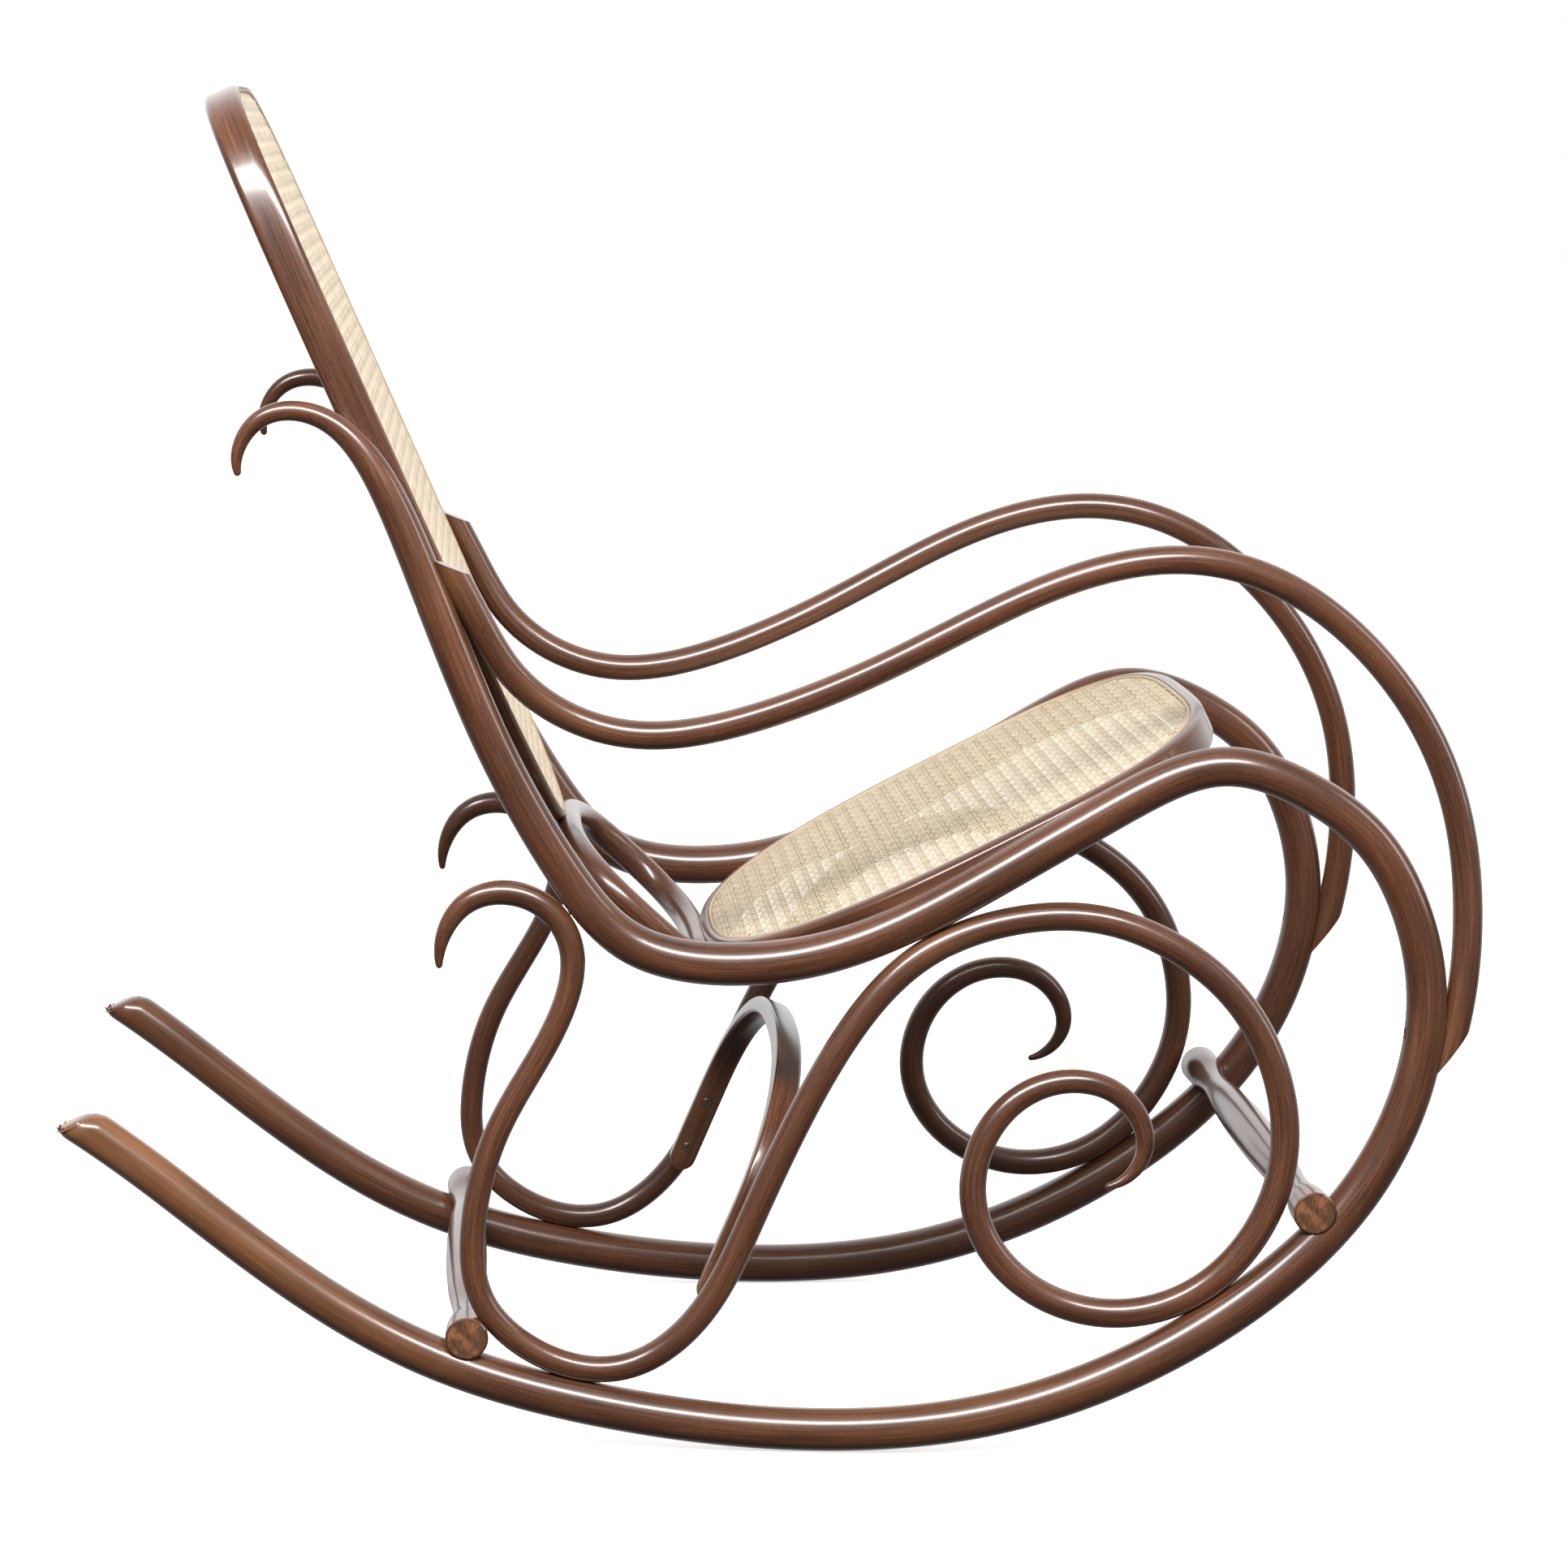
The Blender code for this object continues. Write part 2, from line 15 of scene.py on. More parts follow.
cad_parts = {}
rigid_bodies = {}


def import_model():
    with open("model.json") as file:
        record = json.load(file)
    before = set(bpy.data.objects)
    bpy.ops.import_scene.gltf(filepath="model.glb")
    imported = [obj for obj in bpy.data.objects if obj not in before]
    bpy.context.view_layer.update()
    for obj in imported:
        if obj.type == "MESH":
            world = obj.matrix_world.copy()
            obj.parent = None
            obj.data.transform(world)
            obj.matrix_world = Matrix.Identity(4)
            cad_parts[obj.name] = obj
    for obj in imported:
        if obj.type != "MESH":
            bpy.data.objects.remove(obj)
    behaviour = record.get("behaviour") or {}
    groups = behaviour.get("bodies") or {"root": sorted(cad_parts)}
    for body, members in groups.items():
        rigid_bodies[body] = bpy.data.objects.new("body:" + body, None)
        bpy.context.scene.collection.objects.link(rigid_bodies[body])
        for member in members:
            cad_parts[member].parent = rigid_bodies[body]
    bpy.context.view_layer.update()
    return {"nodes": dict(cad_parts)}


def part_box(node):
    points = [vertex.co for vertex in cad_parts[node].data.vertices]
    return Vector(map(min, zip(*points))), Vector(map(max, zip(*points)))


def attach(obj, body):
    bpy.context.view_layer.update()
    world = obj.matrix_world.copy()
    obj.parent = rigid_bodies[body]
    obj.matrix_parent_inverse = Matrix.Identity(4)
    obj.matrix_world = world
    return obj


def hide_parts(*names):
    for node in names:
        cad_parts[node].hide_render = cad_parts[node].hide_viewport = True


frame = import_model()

GAP = 0.0003  # clearance between pieces that touch

# The workshop drawing: rows (x, lateral, z, radius) of each bent rod's B-spline, right-hand side.
SIDE_RAIL = [
    (-0.477, 0.218, 0.753, 0.0024),
    (-0.482, 0.218, 0.767, 0.0050),
    (-0.466, 0.219, 0.805, 0.0072),
    (-0.410, 0.219, 0.802, 0.0078),
    (-0.371, 0.220, 0.757, 0.0125),
    (-0.335, 0.222, 0.663, 0.0141),
    (-0.290, 0.223, 0.542, 0.0144),
    (-0.234, 0.224, 0.444, 0.0147),
    (-0.187, 0.226, 0.384, 0.0160),
    (-0.089, 0.229, 0.376, 0.0170),
    (-0.005, 0.233, 0.394, 0.0158),
    (0.095, 0.239, 0.449, 0.0160),
    (0.191, 0.243, 0.506, 0.0158),
    (0.262, 0.246, 0.542, 0.0152),
    (0.338, 0.248, 0.509, 0.0148),
    (0.392, 0.250, 0.465, 0.0152),
    (0.425, 0.252, 0.377, 0.0155),
    (0.419, 0.254, 0.291, 0.0158),
    (0.380, 0.256, 0.203, 0.0163),
    (0.311, 0.257, 0.132, 0.0172),
    (0.220, 0.258, 0.074, 0.0174),
    (0.118, 0.257, 0.033, 0.0166),
    (0.012, 0.253, 0.017, 0.0165),
    (-0.103, 0.248, 0.020, 0.0165),
    (-0.218, 0.240, 0.038, 0.0168),
    (-0.326, 0.233, 0.067, 0.0168),
    (-0.421, 0.228, 0.118, 0.0163),
    (-0.514, 0.226, 0.192, 0.0158),
    (-0.575, 0.226, 0.244, 0.0158),
    (-0.622, 0.228, 0.276, 0.0158),
]
SCROLL = [
    (-0.332, 0.225, 0.379, 0.0022),
    (-0.334, 0.225, 0.396, 0.0055),
    (-0.319, 0.224, 0.438, 0.0092),
    (-0.258, 0.225, 0.440, 0.0098),
    (-0.221, 0.226, 0.392, 0.0096),
    (-0.246, 0.228, 0.323, 0.0095),
    (-0.294, 0.231, 0.256, 0.0100),
    (-0.312, 0.234, 0.179, 0.0097),
    (-0.309, 0.237, 0.114, 0.0097),
    (-0.248, 0.239, 0.068, 0.0102),
    (-0.183, 0.241, 0.063, 0.0102),
    (-0.127, 0.242, 0.112, 0.0105),
    (-0.098, 0.243, 0.181, 0.0106),
    (-0.061, 0.242, 0.262, 0.0107),
    (-0.018, 0.239, 0.338, 0.0109),
    (0.035, 0.236, 0.394, 0.0113),
    (0.113, 0.235, 0.417, 0.0110),
    (0.186, 0.237, 0.415, 0.0111),
    (0.259, 0.244, 0.375, 0.0112),
    (0.302, 0.251, 0.318, 0.0112),
    (0.319, 0.257, 0.240, 0.0112),
    (0.297, 0.259, 0.170, 0.0113),
    (0.246, 0.256, 0.116, 0.0114),
    (0.175, 0.250, 0.100, 0.0113),
    (0.108, 0.244, 0.125, 0.0110),
    (0.068, 0.238, 0.182, 0.0106),
    (0.079, 0.233, 0.250, 0.0102),
    (0.128, 0.231, 0.290, 0.0096),
    (0.190, 0.232, 0.284, 0.0090),
    (0.219, 0.235, 0.232, 0.0072),
    (0.193, 0.237, 0.205, 0.0045),
    (0.177, 0.237, 0.203, 0.0022),
]
ARM = [
    (-0.333, 0.220, 0.705, 0.0110),
    (-0.303, 0.219, 0.654, 0.0110),
    (-0.283, 0.211, 0.593, 0.0110),
    (-0.196, 0.207, 0.546, 0.0110),
    (-0.103, 0.217, 0.560, 0.0110),
    (0.008, 0.237, 0.606, 0.0110),
    (0.114, 0.245, 0.666, 0.0110),
    (0.215, 0.238, 0.695, 0.0110),
    (0.309, 0.232, 0.676, 0.0110),
    (0.391, 0.232, 0.608, 0.0110),
    (0.444, 0.237, 0.518, 0.0110),
    (0.458, 0.245, 0.413, 0.0115),
    (0.447, 0.252, 0.325, 0.0115),
    (0.425, 0.253, 0.268, 0.0115),
]
SEAT = {
    "point": (0.100, 0.4774),
    "slope": math.radians(26.2),
    "ends": ((0.1790, 3.4), (0.2365, 2.7)),
    "half_width": 0.2205,
    "section": (0.0125, 0.0280),
    "cane_edge": 0.0030,
    "corner": 0.0075,
    "crown": 0.0055,
}
BACK = {
    "point": (-0.3583, 0.7600),
    "slope": math.radians(-66.66),
    "ends": ((0.3155, 2.3), (0.3000, 4.4)),
    "half_width": 0.1980,
    "section": (0.0090, 0.0280),
    "cane_edge": 0.0050,
    "corner": 0.0055,
    "crown": 0.0080,
}
CANE = 0.0024
SPLINE_WIDTH = 0.0034
SPLINE_HEIGHT = 0.0052
BOW_TOP = (-0.2292, 0.4532)
BOW_FOOT = (-0.1245, 0.3545)
BOW_HALF_WIDTH = 0.146
BOW_RADIUS = 0.0112
ARCH_FOOT = (-0.1310, 0.1135)
ARCH_LEAN = math.radians(23.5)
ARCH_LEG = 0.075
ARCH_RISE = 0.112
ARCH_HALF_WIDTH = 0.2236
ARCH_SECTION = (0.0150, 0.0220)
ARCH_ROUNDNESS = 2.4
STRETCHERS = {"rear": (-0.3145, 0.0955), "front": (0.3342, 0.1876)}
TURNING = [
    (0.0, 0.0166),
    (0.20, 0.0164),
    (0.45, 0.0146),
    (0.66, 0.0108),
    (0.78, 0.0116),
    (0.88, 0.0158),
    (1.0, 0.0165),
]
TIP_CUT = ((-0.6191, 0.2620), math.radians(24.4))
TIP_EASE_WIDTH, TIP_EASE_PULL = 0.0110, 0.0040
ARM_REAR_CUT = ((-0.327, 0.687), math.radians(-22))
ARM_FRONT_CUT = ((0.449, 0.319), math.radians(231))

# --- where the drawing lies in the frame ---------------------------------------------------------


def middle_of(node):
    low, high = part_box(node)
    return (Vector(low) + Vector(high)) / 2


def drawing_to_frame():
    """The roll and shift that carry the drawing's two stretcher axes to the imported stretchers."""
    drawn = [Vector((STRETCHERS[end][0], 0.0, STRETCHERS[end][1])) for end in ("rear", "front")]
    packed = [middle_of("stretcher_" + end) for end in ("rear", "front")]
    drawn_line, packed_line = drawn[1] - drawn[0], packed[1] - packed[0]
    roll = math.atan2(drawn_line.z, drawn_line.x) - math.atan2(packed_line.z, packed_line.x)
    turn = Matrix.Rotation(roll, 4, "Y")
    shift = (packed[0] + packed[1]) / 2 - turn @ ((drawn[0] + drawn[1]) / 2)
    return Matrix.Translation((shift.x, 0.0, shift.z)) @ turn


DRAWING = drawing_to_frame()


def tilted(point, slope):
    """A frame whose X axis rises forwards at the slope from the drawing's point (x, z)."""
    turn = Matrix.Rotation(-slope, 4, "Y")
    return DRAWING @ Matrix.Translation((point[0], 0.0, point[1])) @ turn


def moved(matrix, points):
    full = np.array(matrix)
    return np.asarray(points) @ full[:3, :3].T + full[:3, 3]


# --- lines and lofts -----------------------------------------------------------------------------


def bspline(rows, per_span):
    """Samples of the clamped cubic B-spline with these control rows."""
    rows = np.array(rows, float)
    count = len(rows)
    knots = np.concatenate([np.zeros(3), np.arange(count - 2), np.full(3, count - 3)])
    last = count - 3
    inner = np.linspace(1, last - 1, (last - 2) * per_span + 1)
    fine = np.linspace(0, 1, 6 * per_span, endpoint=False)
    t = np.concatenate([fine, inner, last - fine[::-1]])
    t[-1] -= 1e-9
    weight = [((knots[i] <= t) & (t < knots[i + 1])).astype(float) for i in range(count + 3)]
    for degree in (1, 2, 3):
        raised = []
        for i in range(count + 3 - degree):
            total = np.zeros_like(t)
            before = knots[i + degree] - knots[i]
            after = knots[i + degree + 1] - knots[i + 1]
            if before > 0:
                total += (t - knots[i]) / before * weight[i]
            if after > 0:
                total += (knots[i + degree + 1] - t) / after * weight[i + 1]
            raised.append(total)
        weight = raised
    return np.array(weight).T @ rows


def unit(vectors):
    return vectors / np.linalg.norm(vectors, axis=-1, keepdims=True)


class Line:
    """A middle line with its tangents, two cross axes and its running length."""

    def __init__(self, points, across, closed=False):
        self.points = points
        self.closed = closed
        if closed:
            self.tangents = unit(np.roll(points, -1, 0) - np.roll(points, 1, 0))
        else:
            self.tangents = unit(np.gradient(points, axis=0))
        across = np.broadcast_to(across, points.shape)
        flat = across - (across * self.tangents).sum(1, keepdims=True) * self.tangents
        self.u = unit(flat)
        self.v = np.cross(self.tangents, self.u)
        steps = np.linalg.norm(np.diff(points, axis=0), axis=1)
        self.run = np.concatenate([[0.0], np.cumsum(steps)])
        self.tree = KDTree(len(points))
        for i, point in enumerate(points):
            self.tree.insert(point, i)
        self.tree.balance()


def loft(name, rings, closed=False, caps=True):
    """A mesh object through rings of points, (ring, point, xyz)."""
    count, around = rings.shape[:2]
    faces = []
    for i in range(count if closed else count - 1):
        a, b = i * around, (i + 1) % count * around
        for k in range(around):
            after = (k + 1) % around
            faces.append((a + k, a + after, b + after, b + k))
    if caps and not closed:
        faces.append(tuple(reversed(range(around))))
        faces.append(tuple(range((count - 1) * around, count * around)))
    mesh = bpy.data.meshes.new(name)
    mesh.from_pydata(rings.reshape(-1, 3).tolist(), [], faces)
    work = bmesh.new()
    work.from_mesh(mesh)
    bmesh.ops.recalc_face_normals(work, faces=work.faces)
    work.to_mesh(mesh)
    work.free()
    obj = bpy.data.objects.new(name, mesh)
    bpy.context.scene.collection.objects.link(obj)
    return obj


def rod(name, rows, grow=0.0, sides=32, per_span=12):
    """A smooth round rod along a drawing spline on the right-hand side, with its line."""
    samples = bspline(rows, per_span)
    points = moved(DRAWING, np.stack([samples[:, 0], -samples[:, 1], samples[:, 2]], 1))
    line = Line(points, (0.0, 1.0, 0.0))
    radius = samples[:, 3] + grow
    for end, from_end in ((0, line.run), (-1, line.run[-1] - line.run)):
        share = np.clip(from_end / radius[end], 0.0, 1.0)
        if radius[end] < 0.004:
            radius = radius * np.sqrt(np.clip(1 - (1 - share) ** 2, 0.02, 1.0))
    turns = math.tau * np.arange(sides) / sides
    ring = np.cos(turns)[:, None, None] * line.u + np.sin(turns)[:, None, None] * line.v
    rings = points[:, None] + radius[:, None, None] * ring.transpose(1, 0, 2)
    return loft(name, rings), line


def cut(obj, cutter):
    step = obj.modifiers.new("cut", "BOOLEAN")
    step.operation = "DIFFERENCE"
    step.solver = "EXACT"
    step.object = cutter
    bpy.context.view_layer.update()
    whole = obj.evaluated_get(bpy.context.evaluated_depsgraph_get())
    mesh = bpy.data.meshes.new_from_object(whole)
    obj.modifiers.clear()
    obj.data = mesh


def drop(*objs):
    for obj in objs:
        bpy.data.objects.remove(obj)


def block(point, angle, size=0.2):
    """A cutting block whose lower face lies in a plane through the drawing's point."""
    work = bmesh.new()
    bmesh.ops.create_cube(work, size=1.0)
    bmesh.ops.scale(work, vec=(size, 1.2, size), verts=work.verts)
    bmesh.ops.translate(work, vec=(0, 0, size / 2), verts=work.verts)
    mesh = bpy.data.meshes.new("block")
    work.to_mesh(mesh)
    work.free()
    obj = bpy.data.objects.new("block", mesh)
    bpy.context.scene.collection.objects.link(obj)
    obj.matrix_world = tilted(point, angle)
    return obj


EASE_RINGS = 6  # rows of faces across the eased edge of a cut face
EASE_NEAR = 0.08  # how far from the cut's middle the wall is eased
ON_THE_CUT = 5e-5  # points this close to the cutting plane lie on it
WELD = 1e-6


def ease(obj, line, plane_point, angle, width, pull):
    """Rounds the edge between a rod's wall and the flat face that a cutting block left."""
    place = tilted(plane_point, angle)
    normal, origin = place.to_3x3() @ Vector((0, 0, 1)), place.translation
    work = bmesh.new()
    work.from_mesh(obj.data)
    bmesh.ops.remove_doubles(work, verts=work.verts, dist=WELD)

    def cut_faces():
        return [
            face
            for face in work.faces
            if abs(face.normal.dot(normal)) > 0.999
            and all(abs((v.co - origin).dot(normal)) < ON_THE_CUT for v in face.verts)
        ]

    made = bmesh.ops.dissolve_faces(work, faces=cut_faces())["region"]
    face = (made or cut_faces())[0]
    outside, rim = face.normal.copy(), list(face.verts)
    middle = sum((v.co for v in rim), Vector()) / len(rim)
    reach = min(0.75, width * len(rim) / sum((v.co - middle).length for v in rim))
    bmesh.ops.delete(work, geom=[face], context="FACES_ONLY")
    starts = [vertex.co.copy() for vertex in rim]
    rings, inner = [rim], set()
    for step in range(1, EASE_RINGS + 1):
        part = step / EASE_RINGS
        lift = outside * pull * (1 - part) ** 2
        ring = [work.verts.new(middle + (co - middle) * (1 - reach * part) - lift) for co in starts]
        inner.update(ring)
        rings.append(ring)
    for outer_ring, next_ring in zip(rings, rings[1:]):
        for k in range(len(rim)):
            after = (k + 1) % len(rim)
            corners = (outer_ring[k], outer_ring[after], next_ring[after], next_ring[k])
            work.faces.new(corners).smooth = True
    work.faces.new(rings[-1])
    for vertex in work.verts:
        if vertex in inner:
            continue
        depth = abs((vertex.co - origin).dot(normal)) / width
        near = Vector(line.points[line.tree.find(vertex.co)[1]])
        away = vertex.co - origin
        if depth < 1 and math.hypot(away.x, away.z) < EASE_NEAR:
            outward = (vertex.co - near).normalized()
            vertex.co -= outward * pull * (1 - depth) ** 2
            if vertex in rim:
                vertex.co -= outside * pull
    work.to_mesh(obj.data)
    work.free()


# --- materials -----------------------------------------------------------------------------------


def new_material(name):
    made = bpy.data.materials.new(name)
    made.use_nodes = True
    return made, made.node_tree, made.node_tree.nodes["Principled BSDF"]


def node(tree, kind, values=None, links=None, **settings):
    """A node with its settings, its socket values, and its inputs linked from other sockets."""
    made = tree.nodes.new("ShaderNode" + kind)
    for key, value in settings.items():
        setattr(made, key, value)
    for key, value in (values or {}).items():
        made.inputs[key].default_value = value
    for key, socket in (links or {}).items():
        tree.links.new(socket, made.inputs[key])
    return made


def ramp(tree, factor, stops):
    made = node(tree, "ValToRGB", links={0: factor})
    elements = made.color_ramp.elements
    while len(elements) < len(stops):
        elements.new(0.5)
    for element, (place, color) in zip(elements, stops):
        element.position = place
        element.color = (*color, 1.0)
    return made.outputs["Color"]


def noise(tree, place, scale, detail=3.0, size=1.0, roughness=0.5):
    """Noise over the point, stretched by the scale along each of its axes."""
    stretched = node(tree, "Mapping", {"Scale": scale}, {"Vector": place})
    values = {"Scale": size, "Detail": detail, "Roughness": roughness}
    return node(tree, "TexNoise", values, {"Vector": stretched.outputs[0]}).outputs["Fac"]


def blend(tree, factor, first, second, way="MIX"):
    made = node(tree, "Mix", data_type="RGBA", blend_type=way)
    tree.links.new(first, made.inputs[6])
    tree.links.new(second, made.inputs[7])
    if isinstance(factor, float):
        made.inputs[0].default_value = factor
    else:
        tree.links.new(factor, made.inputs[0])
    return made.outputs[2]


def span(tree, value, low, high, to_low=0.0, to_high=1.0):
    made = node(tree, "MapRange", {1: low, 2: high, 3: to_low, 4: to_high}, {0: value})
    return made.outputs[0]


def wood_material(name, deep, middle, light, worn_color):
    """Steam-bent beech: stain that takes unevenly, grain along the rod, flecks and a satin coat."""
    made, tree, shader = new_material(name)
    place = node(tree, "Attribute", attribute_name="grain").outputs["Vector"]
    worn = node(tree, "Attribute", attribute_name="worn").outputs["Fac"]
    streaks = noise(tree, place, (14.0, 750.0, 750.0), 4.0)
    clouds = noise(tree, place, (9.0, 60.0, 60.0), 3.0)
    flecks = noise(tree, place, (190.0, 1500.0, 1500.0), 2.0)
    tone = ramp(tree, streaks, ((0.28, deep), (0.52, middle), (0.78, light)))
    cloud = ramp(tree, clouds, ((0.32, (0.72, 0.69, 0.68)), (0.70, (1.28, 1.22, 1.16))))
    tone = blend(tree, 1.0, tone, cloud, "MULTIPLY")
    fleck = ramp(tree, flecks, ((0.30, (0.50, 0.46, 0.44)), (0.44, (1.0, 1.0, 1.0))))
    tone = blend(tree, 0.75, tone, fleck, "MULTIPLY")
    sparks = noise(tree, place, (240.0, 1300.0, 1300.0), 2.0)
    spark = ramp(tree, sparks, ((0.60, (1.0, 1.0, 1.0)), (0.72, (1.9, 1.6, 1.35))))
    tone = blend(tree, 0.8, tone, spark, "MULTIPLY")
    pale = ramp(tree, streaks, ((0.3, tuple(c * 0.72 for c in worn_color)), (0.7, worn_color)))
    patches = node(tree, "Math", operation="MULTIPLY")
    tree.links.new(worn, patches.inputs[0])
    tree.links.new(span(tree, clouds, 0.25, 0.65, 0.35, 1.2), patches.inputs[1])
    patches.use_clamp = True
    tone = blend(tree, patches.outputs[0], tone, pale)
    tree.links.new(tone, shader.inputs["Base Color"])
    tree.links.new(span(tree, streaks, 0.2, 0.8, 0.26, 0.38), shader.inputs["Roughness"])
    height = span(tree, streaks, 0.2, 0.8, 0.0, 0.6)
    bump = node(tree, "Bump", {"Strength": 0.05, "Distance": 0.0003}, {"Height": height})
    tree.links.new(bump.outputs[0], shader.inputs["Normal"])
    shader.inputs["Specular IOR Level"].default_value = 0.5
    shader.inputs["Coat Weight"].default_value = 0.8
    shader.inputs["Coat Roughness"].default_value = 0.17
    return made


def cane_material(name, straw, shade):
    """Split rattan: a satin skin with fibre lines, joints and a tone of its own for each strand."""
    made, tree, shader = new_material(name)
    place = node(tree, "Attribute", attribute_name="grain").outputs["Vector"]
    strand = node(tree, "Attribute", attribute_name="strand").outputs["Fac"]
    fibres = noise(tree, place, (60.0, 3500.0, 900.0), 3.0)
    blotches = noise(tree, place, (28.0, 28.0, 28.0), 2.0)
    joints = noise(tree, place, (150.0, 0.0, 0.0), 1.0)
    tone = ramp(tree, fibres, ((0.30, shade), (0.62, straw)))
    own = ramp(tree, strand, ((0.0, (0.86, 0.82, 0.76)), (1.0, (1.08, 1.07, 1.06))))
    tone = blend(tree, 1.0, tone, own, "MULTIPLY")
    patch = ramp(tree, blotches, ((0.3, (0.95, 0.93, 0.90)), (0.65, (1.03, 1.02, 1.02))))
    tone = blend(tree, 1.0, tone, patch, "MULTIPLY")
    joint = ramp(tree, joints, ((0.70, (1.0, 1.0, 1.0)), (0.78, (0.72, 0.60, 0.44))))
    tone = blend(tree, 0.6, tone, joint, "MULTIPLY")
    tree.links.new(tone, shader.inputs["Base Color"])
    tree.links.new(span(tree, fibres, 0.2, 0.8, 0.46, 0.62), shader.inputs["Roughness"])
    bump = node(tree, "Bump", {"Strength": 0.25, "Distance": 0.0002}, {"Height": fibres})
    tree.links.new(bump.outputs[0], shader.inputs["Normal"])
    shader.inputs["Coat Weight"].default_value = 0.04
    shader.inputs["Coat Roughness"].default_value = 0.25
    return made


def steel_material():
    made, tree, shader = new_material("screw_metal")
    place = node(tree, "TexCoord").outputs["Object"]
    marks = noise(tree, place, (900.0, 900.0, 900.0), 3.0)
    tone = ramp(tree, marks, ((0.3, (0.16, 0.12, 0.085)), (0.7, (0.34, 0.28, 0.21))))
    tree.links.new(tone, shader.inputs["Base Color"])
    tree.links.new(span(tree, marks, 0.2, 0.8, 0.28, 0.5), shader.inputs["Roughness"])
    shader.inputs["Metallic"].default_value = 0.9
    return made


def end_grain_material():
    """The sawn ends of the stretchers: growth layers and a darker stained rim."""
    made, tree, shader = new_material("end_grain")
    place = node(tree, "Attribute", attribute_name="grain").outputs["Vector"]
    layers = noise(tree, place, (0.0, 160.0, 1100.0), 4.0)
    pores = noise(tree, place, (0.0, 1800.0, 1800.0), 2.0)
    tone = ramp(tree, layers, ((0.3, (0.075, 0.031, 0.016)), (0.7, (0.220, 0.098, 0.045))))
    golden = noise(tree, place, (0.0, 110.0, 110.0), 2.0)
    patch = ramp(tree, golden, ((0.45, (0.8, 0.8, 0.8)), (0.62, (1.9, 1.75, 1.5))))
    tone = blend(tree, 1.0, tone, patch, "MULTIPLY")
    pore = ramp(tree, pores, ((0.34, (0.55, 0.5, 0.5)), (0.5, (1.0, 1.0, 1.0))))
    tone = blend(tree, 0.8, tone, pore, "MULTIPLY")
    cross = node(tree, "VectorMath", operation="MULTIPLY")
    tree.links.new(place, cross.inputs[0])
    cross.inputs[1].default_value = (0.0, 1.0, 1.0)
    reach = node(tree, "VectorMath", operation="LENGTH")
    tree.links.new(cross.outputs[0], reach.inputs[0])
    rim = span(tree, reach.outputs["Value"], 0.0138, 0.0160)
    dark = node(tree, "RGB")
    dark.outputs[0].default_value = (0.030, 0.012, 0.007, 1.0)
    tone = blend(tree, rim, tone, dark.outputs[0])
    tree.links.new(tone, shader.inputs["Base Color"])
    shader.inputs["Roughness"].default_value = 0.5
    bump = node(tree, "Bump", {"Strength": 0.3, "Distance": 0.0003}, {"Height": layers})
    tree.links.new(bump.outputs[0], shader.inputs["Normal"])
    return made


WALNUT = wood_material(
    "walnut_stained_beech",
    (0.060, 0.0235, 0.0115),
    (0.100, 0.0385, 0.0185),
    (0.168, 0.0650, 0.0295),
    (0.310, 0.1350, 0.0520),
)
SEAT_CANE = cane_material("seat_cane_strands", (0.546, 0.475, 0.361), (0.496, 0.416, 0.294))
BACK_CANE = cane_material("back_cane_strands", (0.800, 0.715, 0.580), (0.715, 0.618, 0.473))
REED = cane_material("reed_cord", (0.560, 0.450, 0.310), (0.420, 0.310, 0.190))
STEEL = steel_material()
END_GRAIN = end_grain_material()

# --- finishing a piece ---------------------------------------------------------------------------

JOINT_WEAR = 0.22
LEFT_WEAR = 0.35  # the left side's stain has worn less
LEFT_GRAIN_START = 7.3  # metres along the grain at which the left side's wood begins
SCREW_WEAR_RADIUS = 0.020
SCREW_SPOTS = [middle_of(name) for name in sorted(frame["nodes"]) if name.startswith("screw")]


def set_attribute(mesh, name, kind, values):
    made = mesh.attributes.new(name, kind, "POINT")
    key = "vector" if kind == "FLOAT_VECTOR" else "value"
    made.data.foreach_set(key, np.asarray(values, np.float32).ravel())


def shade(obj, material, sharp=32.0):
    mesh = obj.data
    mesh.materials.clear()
    mesh.materials.append(material)
    mesh.shade_smooth()
    mesh.set_sharp_from_angle(angle=math.radians(sharp))


def finish_wood(obj, line, worn_spots=(), start=0.0):
    """Grain coordinates that follow the bend, and worn stain round joints and ends."""
    mesh = obj.data
    spots = [(point, SCREW_WEAR_RADIUS, JOINT_WEAR) for point in SCREW_SPOTS] + list(worn_spots)
    grain, worn = [], []
    for vertex in mesh.vertices:
        near = line.tree.find(vertex.co)[1]
        off = np.array(vertex.co) - line.points[near]
        along = line.run[near] + off @ line.tangents[near] + start
        grain.append((along, off @ line.u[near], off @ line.v[near]))
        worn.append(sum(k * math.exp(-(((vertex.co - p).length / r) ** 2)) for p, r, k in spots))
    set_attribute(mesh, "grain", "FLOAT_VECTOR", grain)
    set_attribute(mesh, "worn", "FLOAT", np.clip(worn, 0.0, 1.0))
    shade(obj, WALNUT)


def mirror_image(obj, name):
    """The left-hand copy of a right-hand object."""
    mesh = obj.data.copy()
    mesh.transform(Matrix.Scale(-1.0, 4, (0.0, 1.0, 0.0)))
    mesh.flip_normals()
    made = bpy.data.objects.new(name, mesh)
    bpy.context.scene.collection.objects.link(made)
    return made


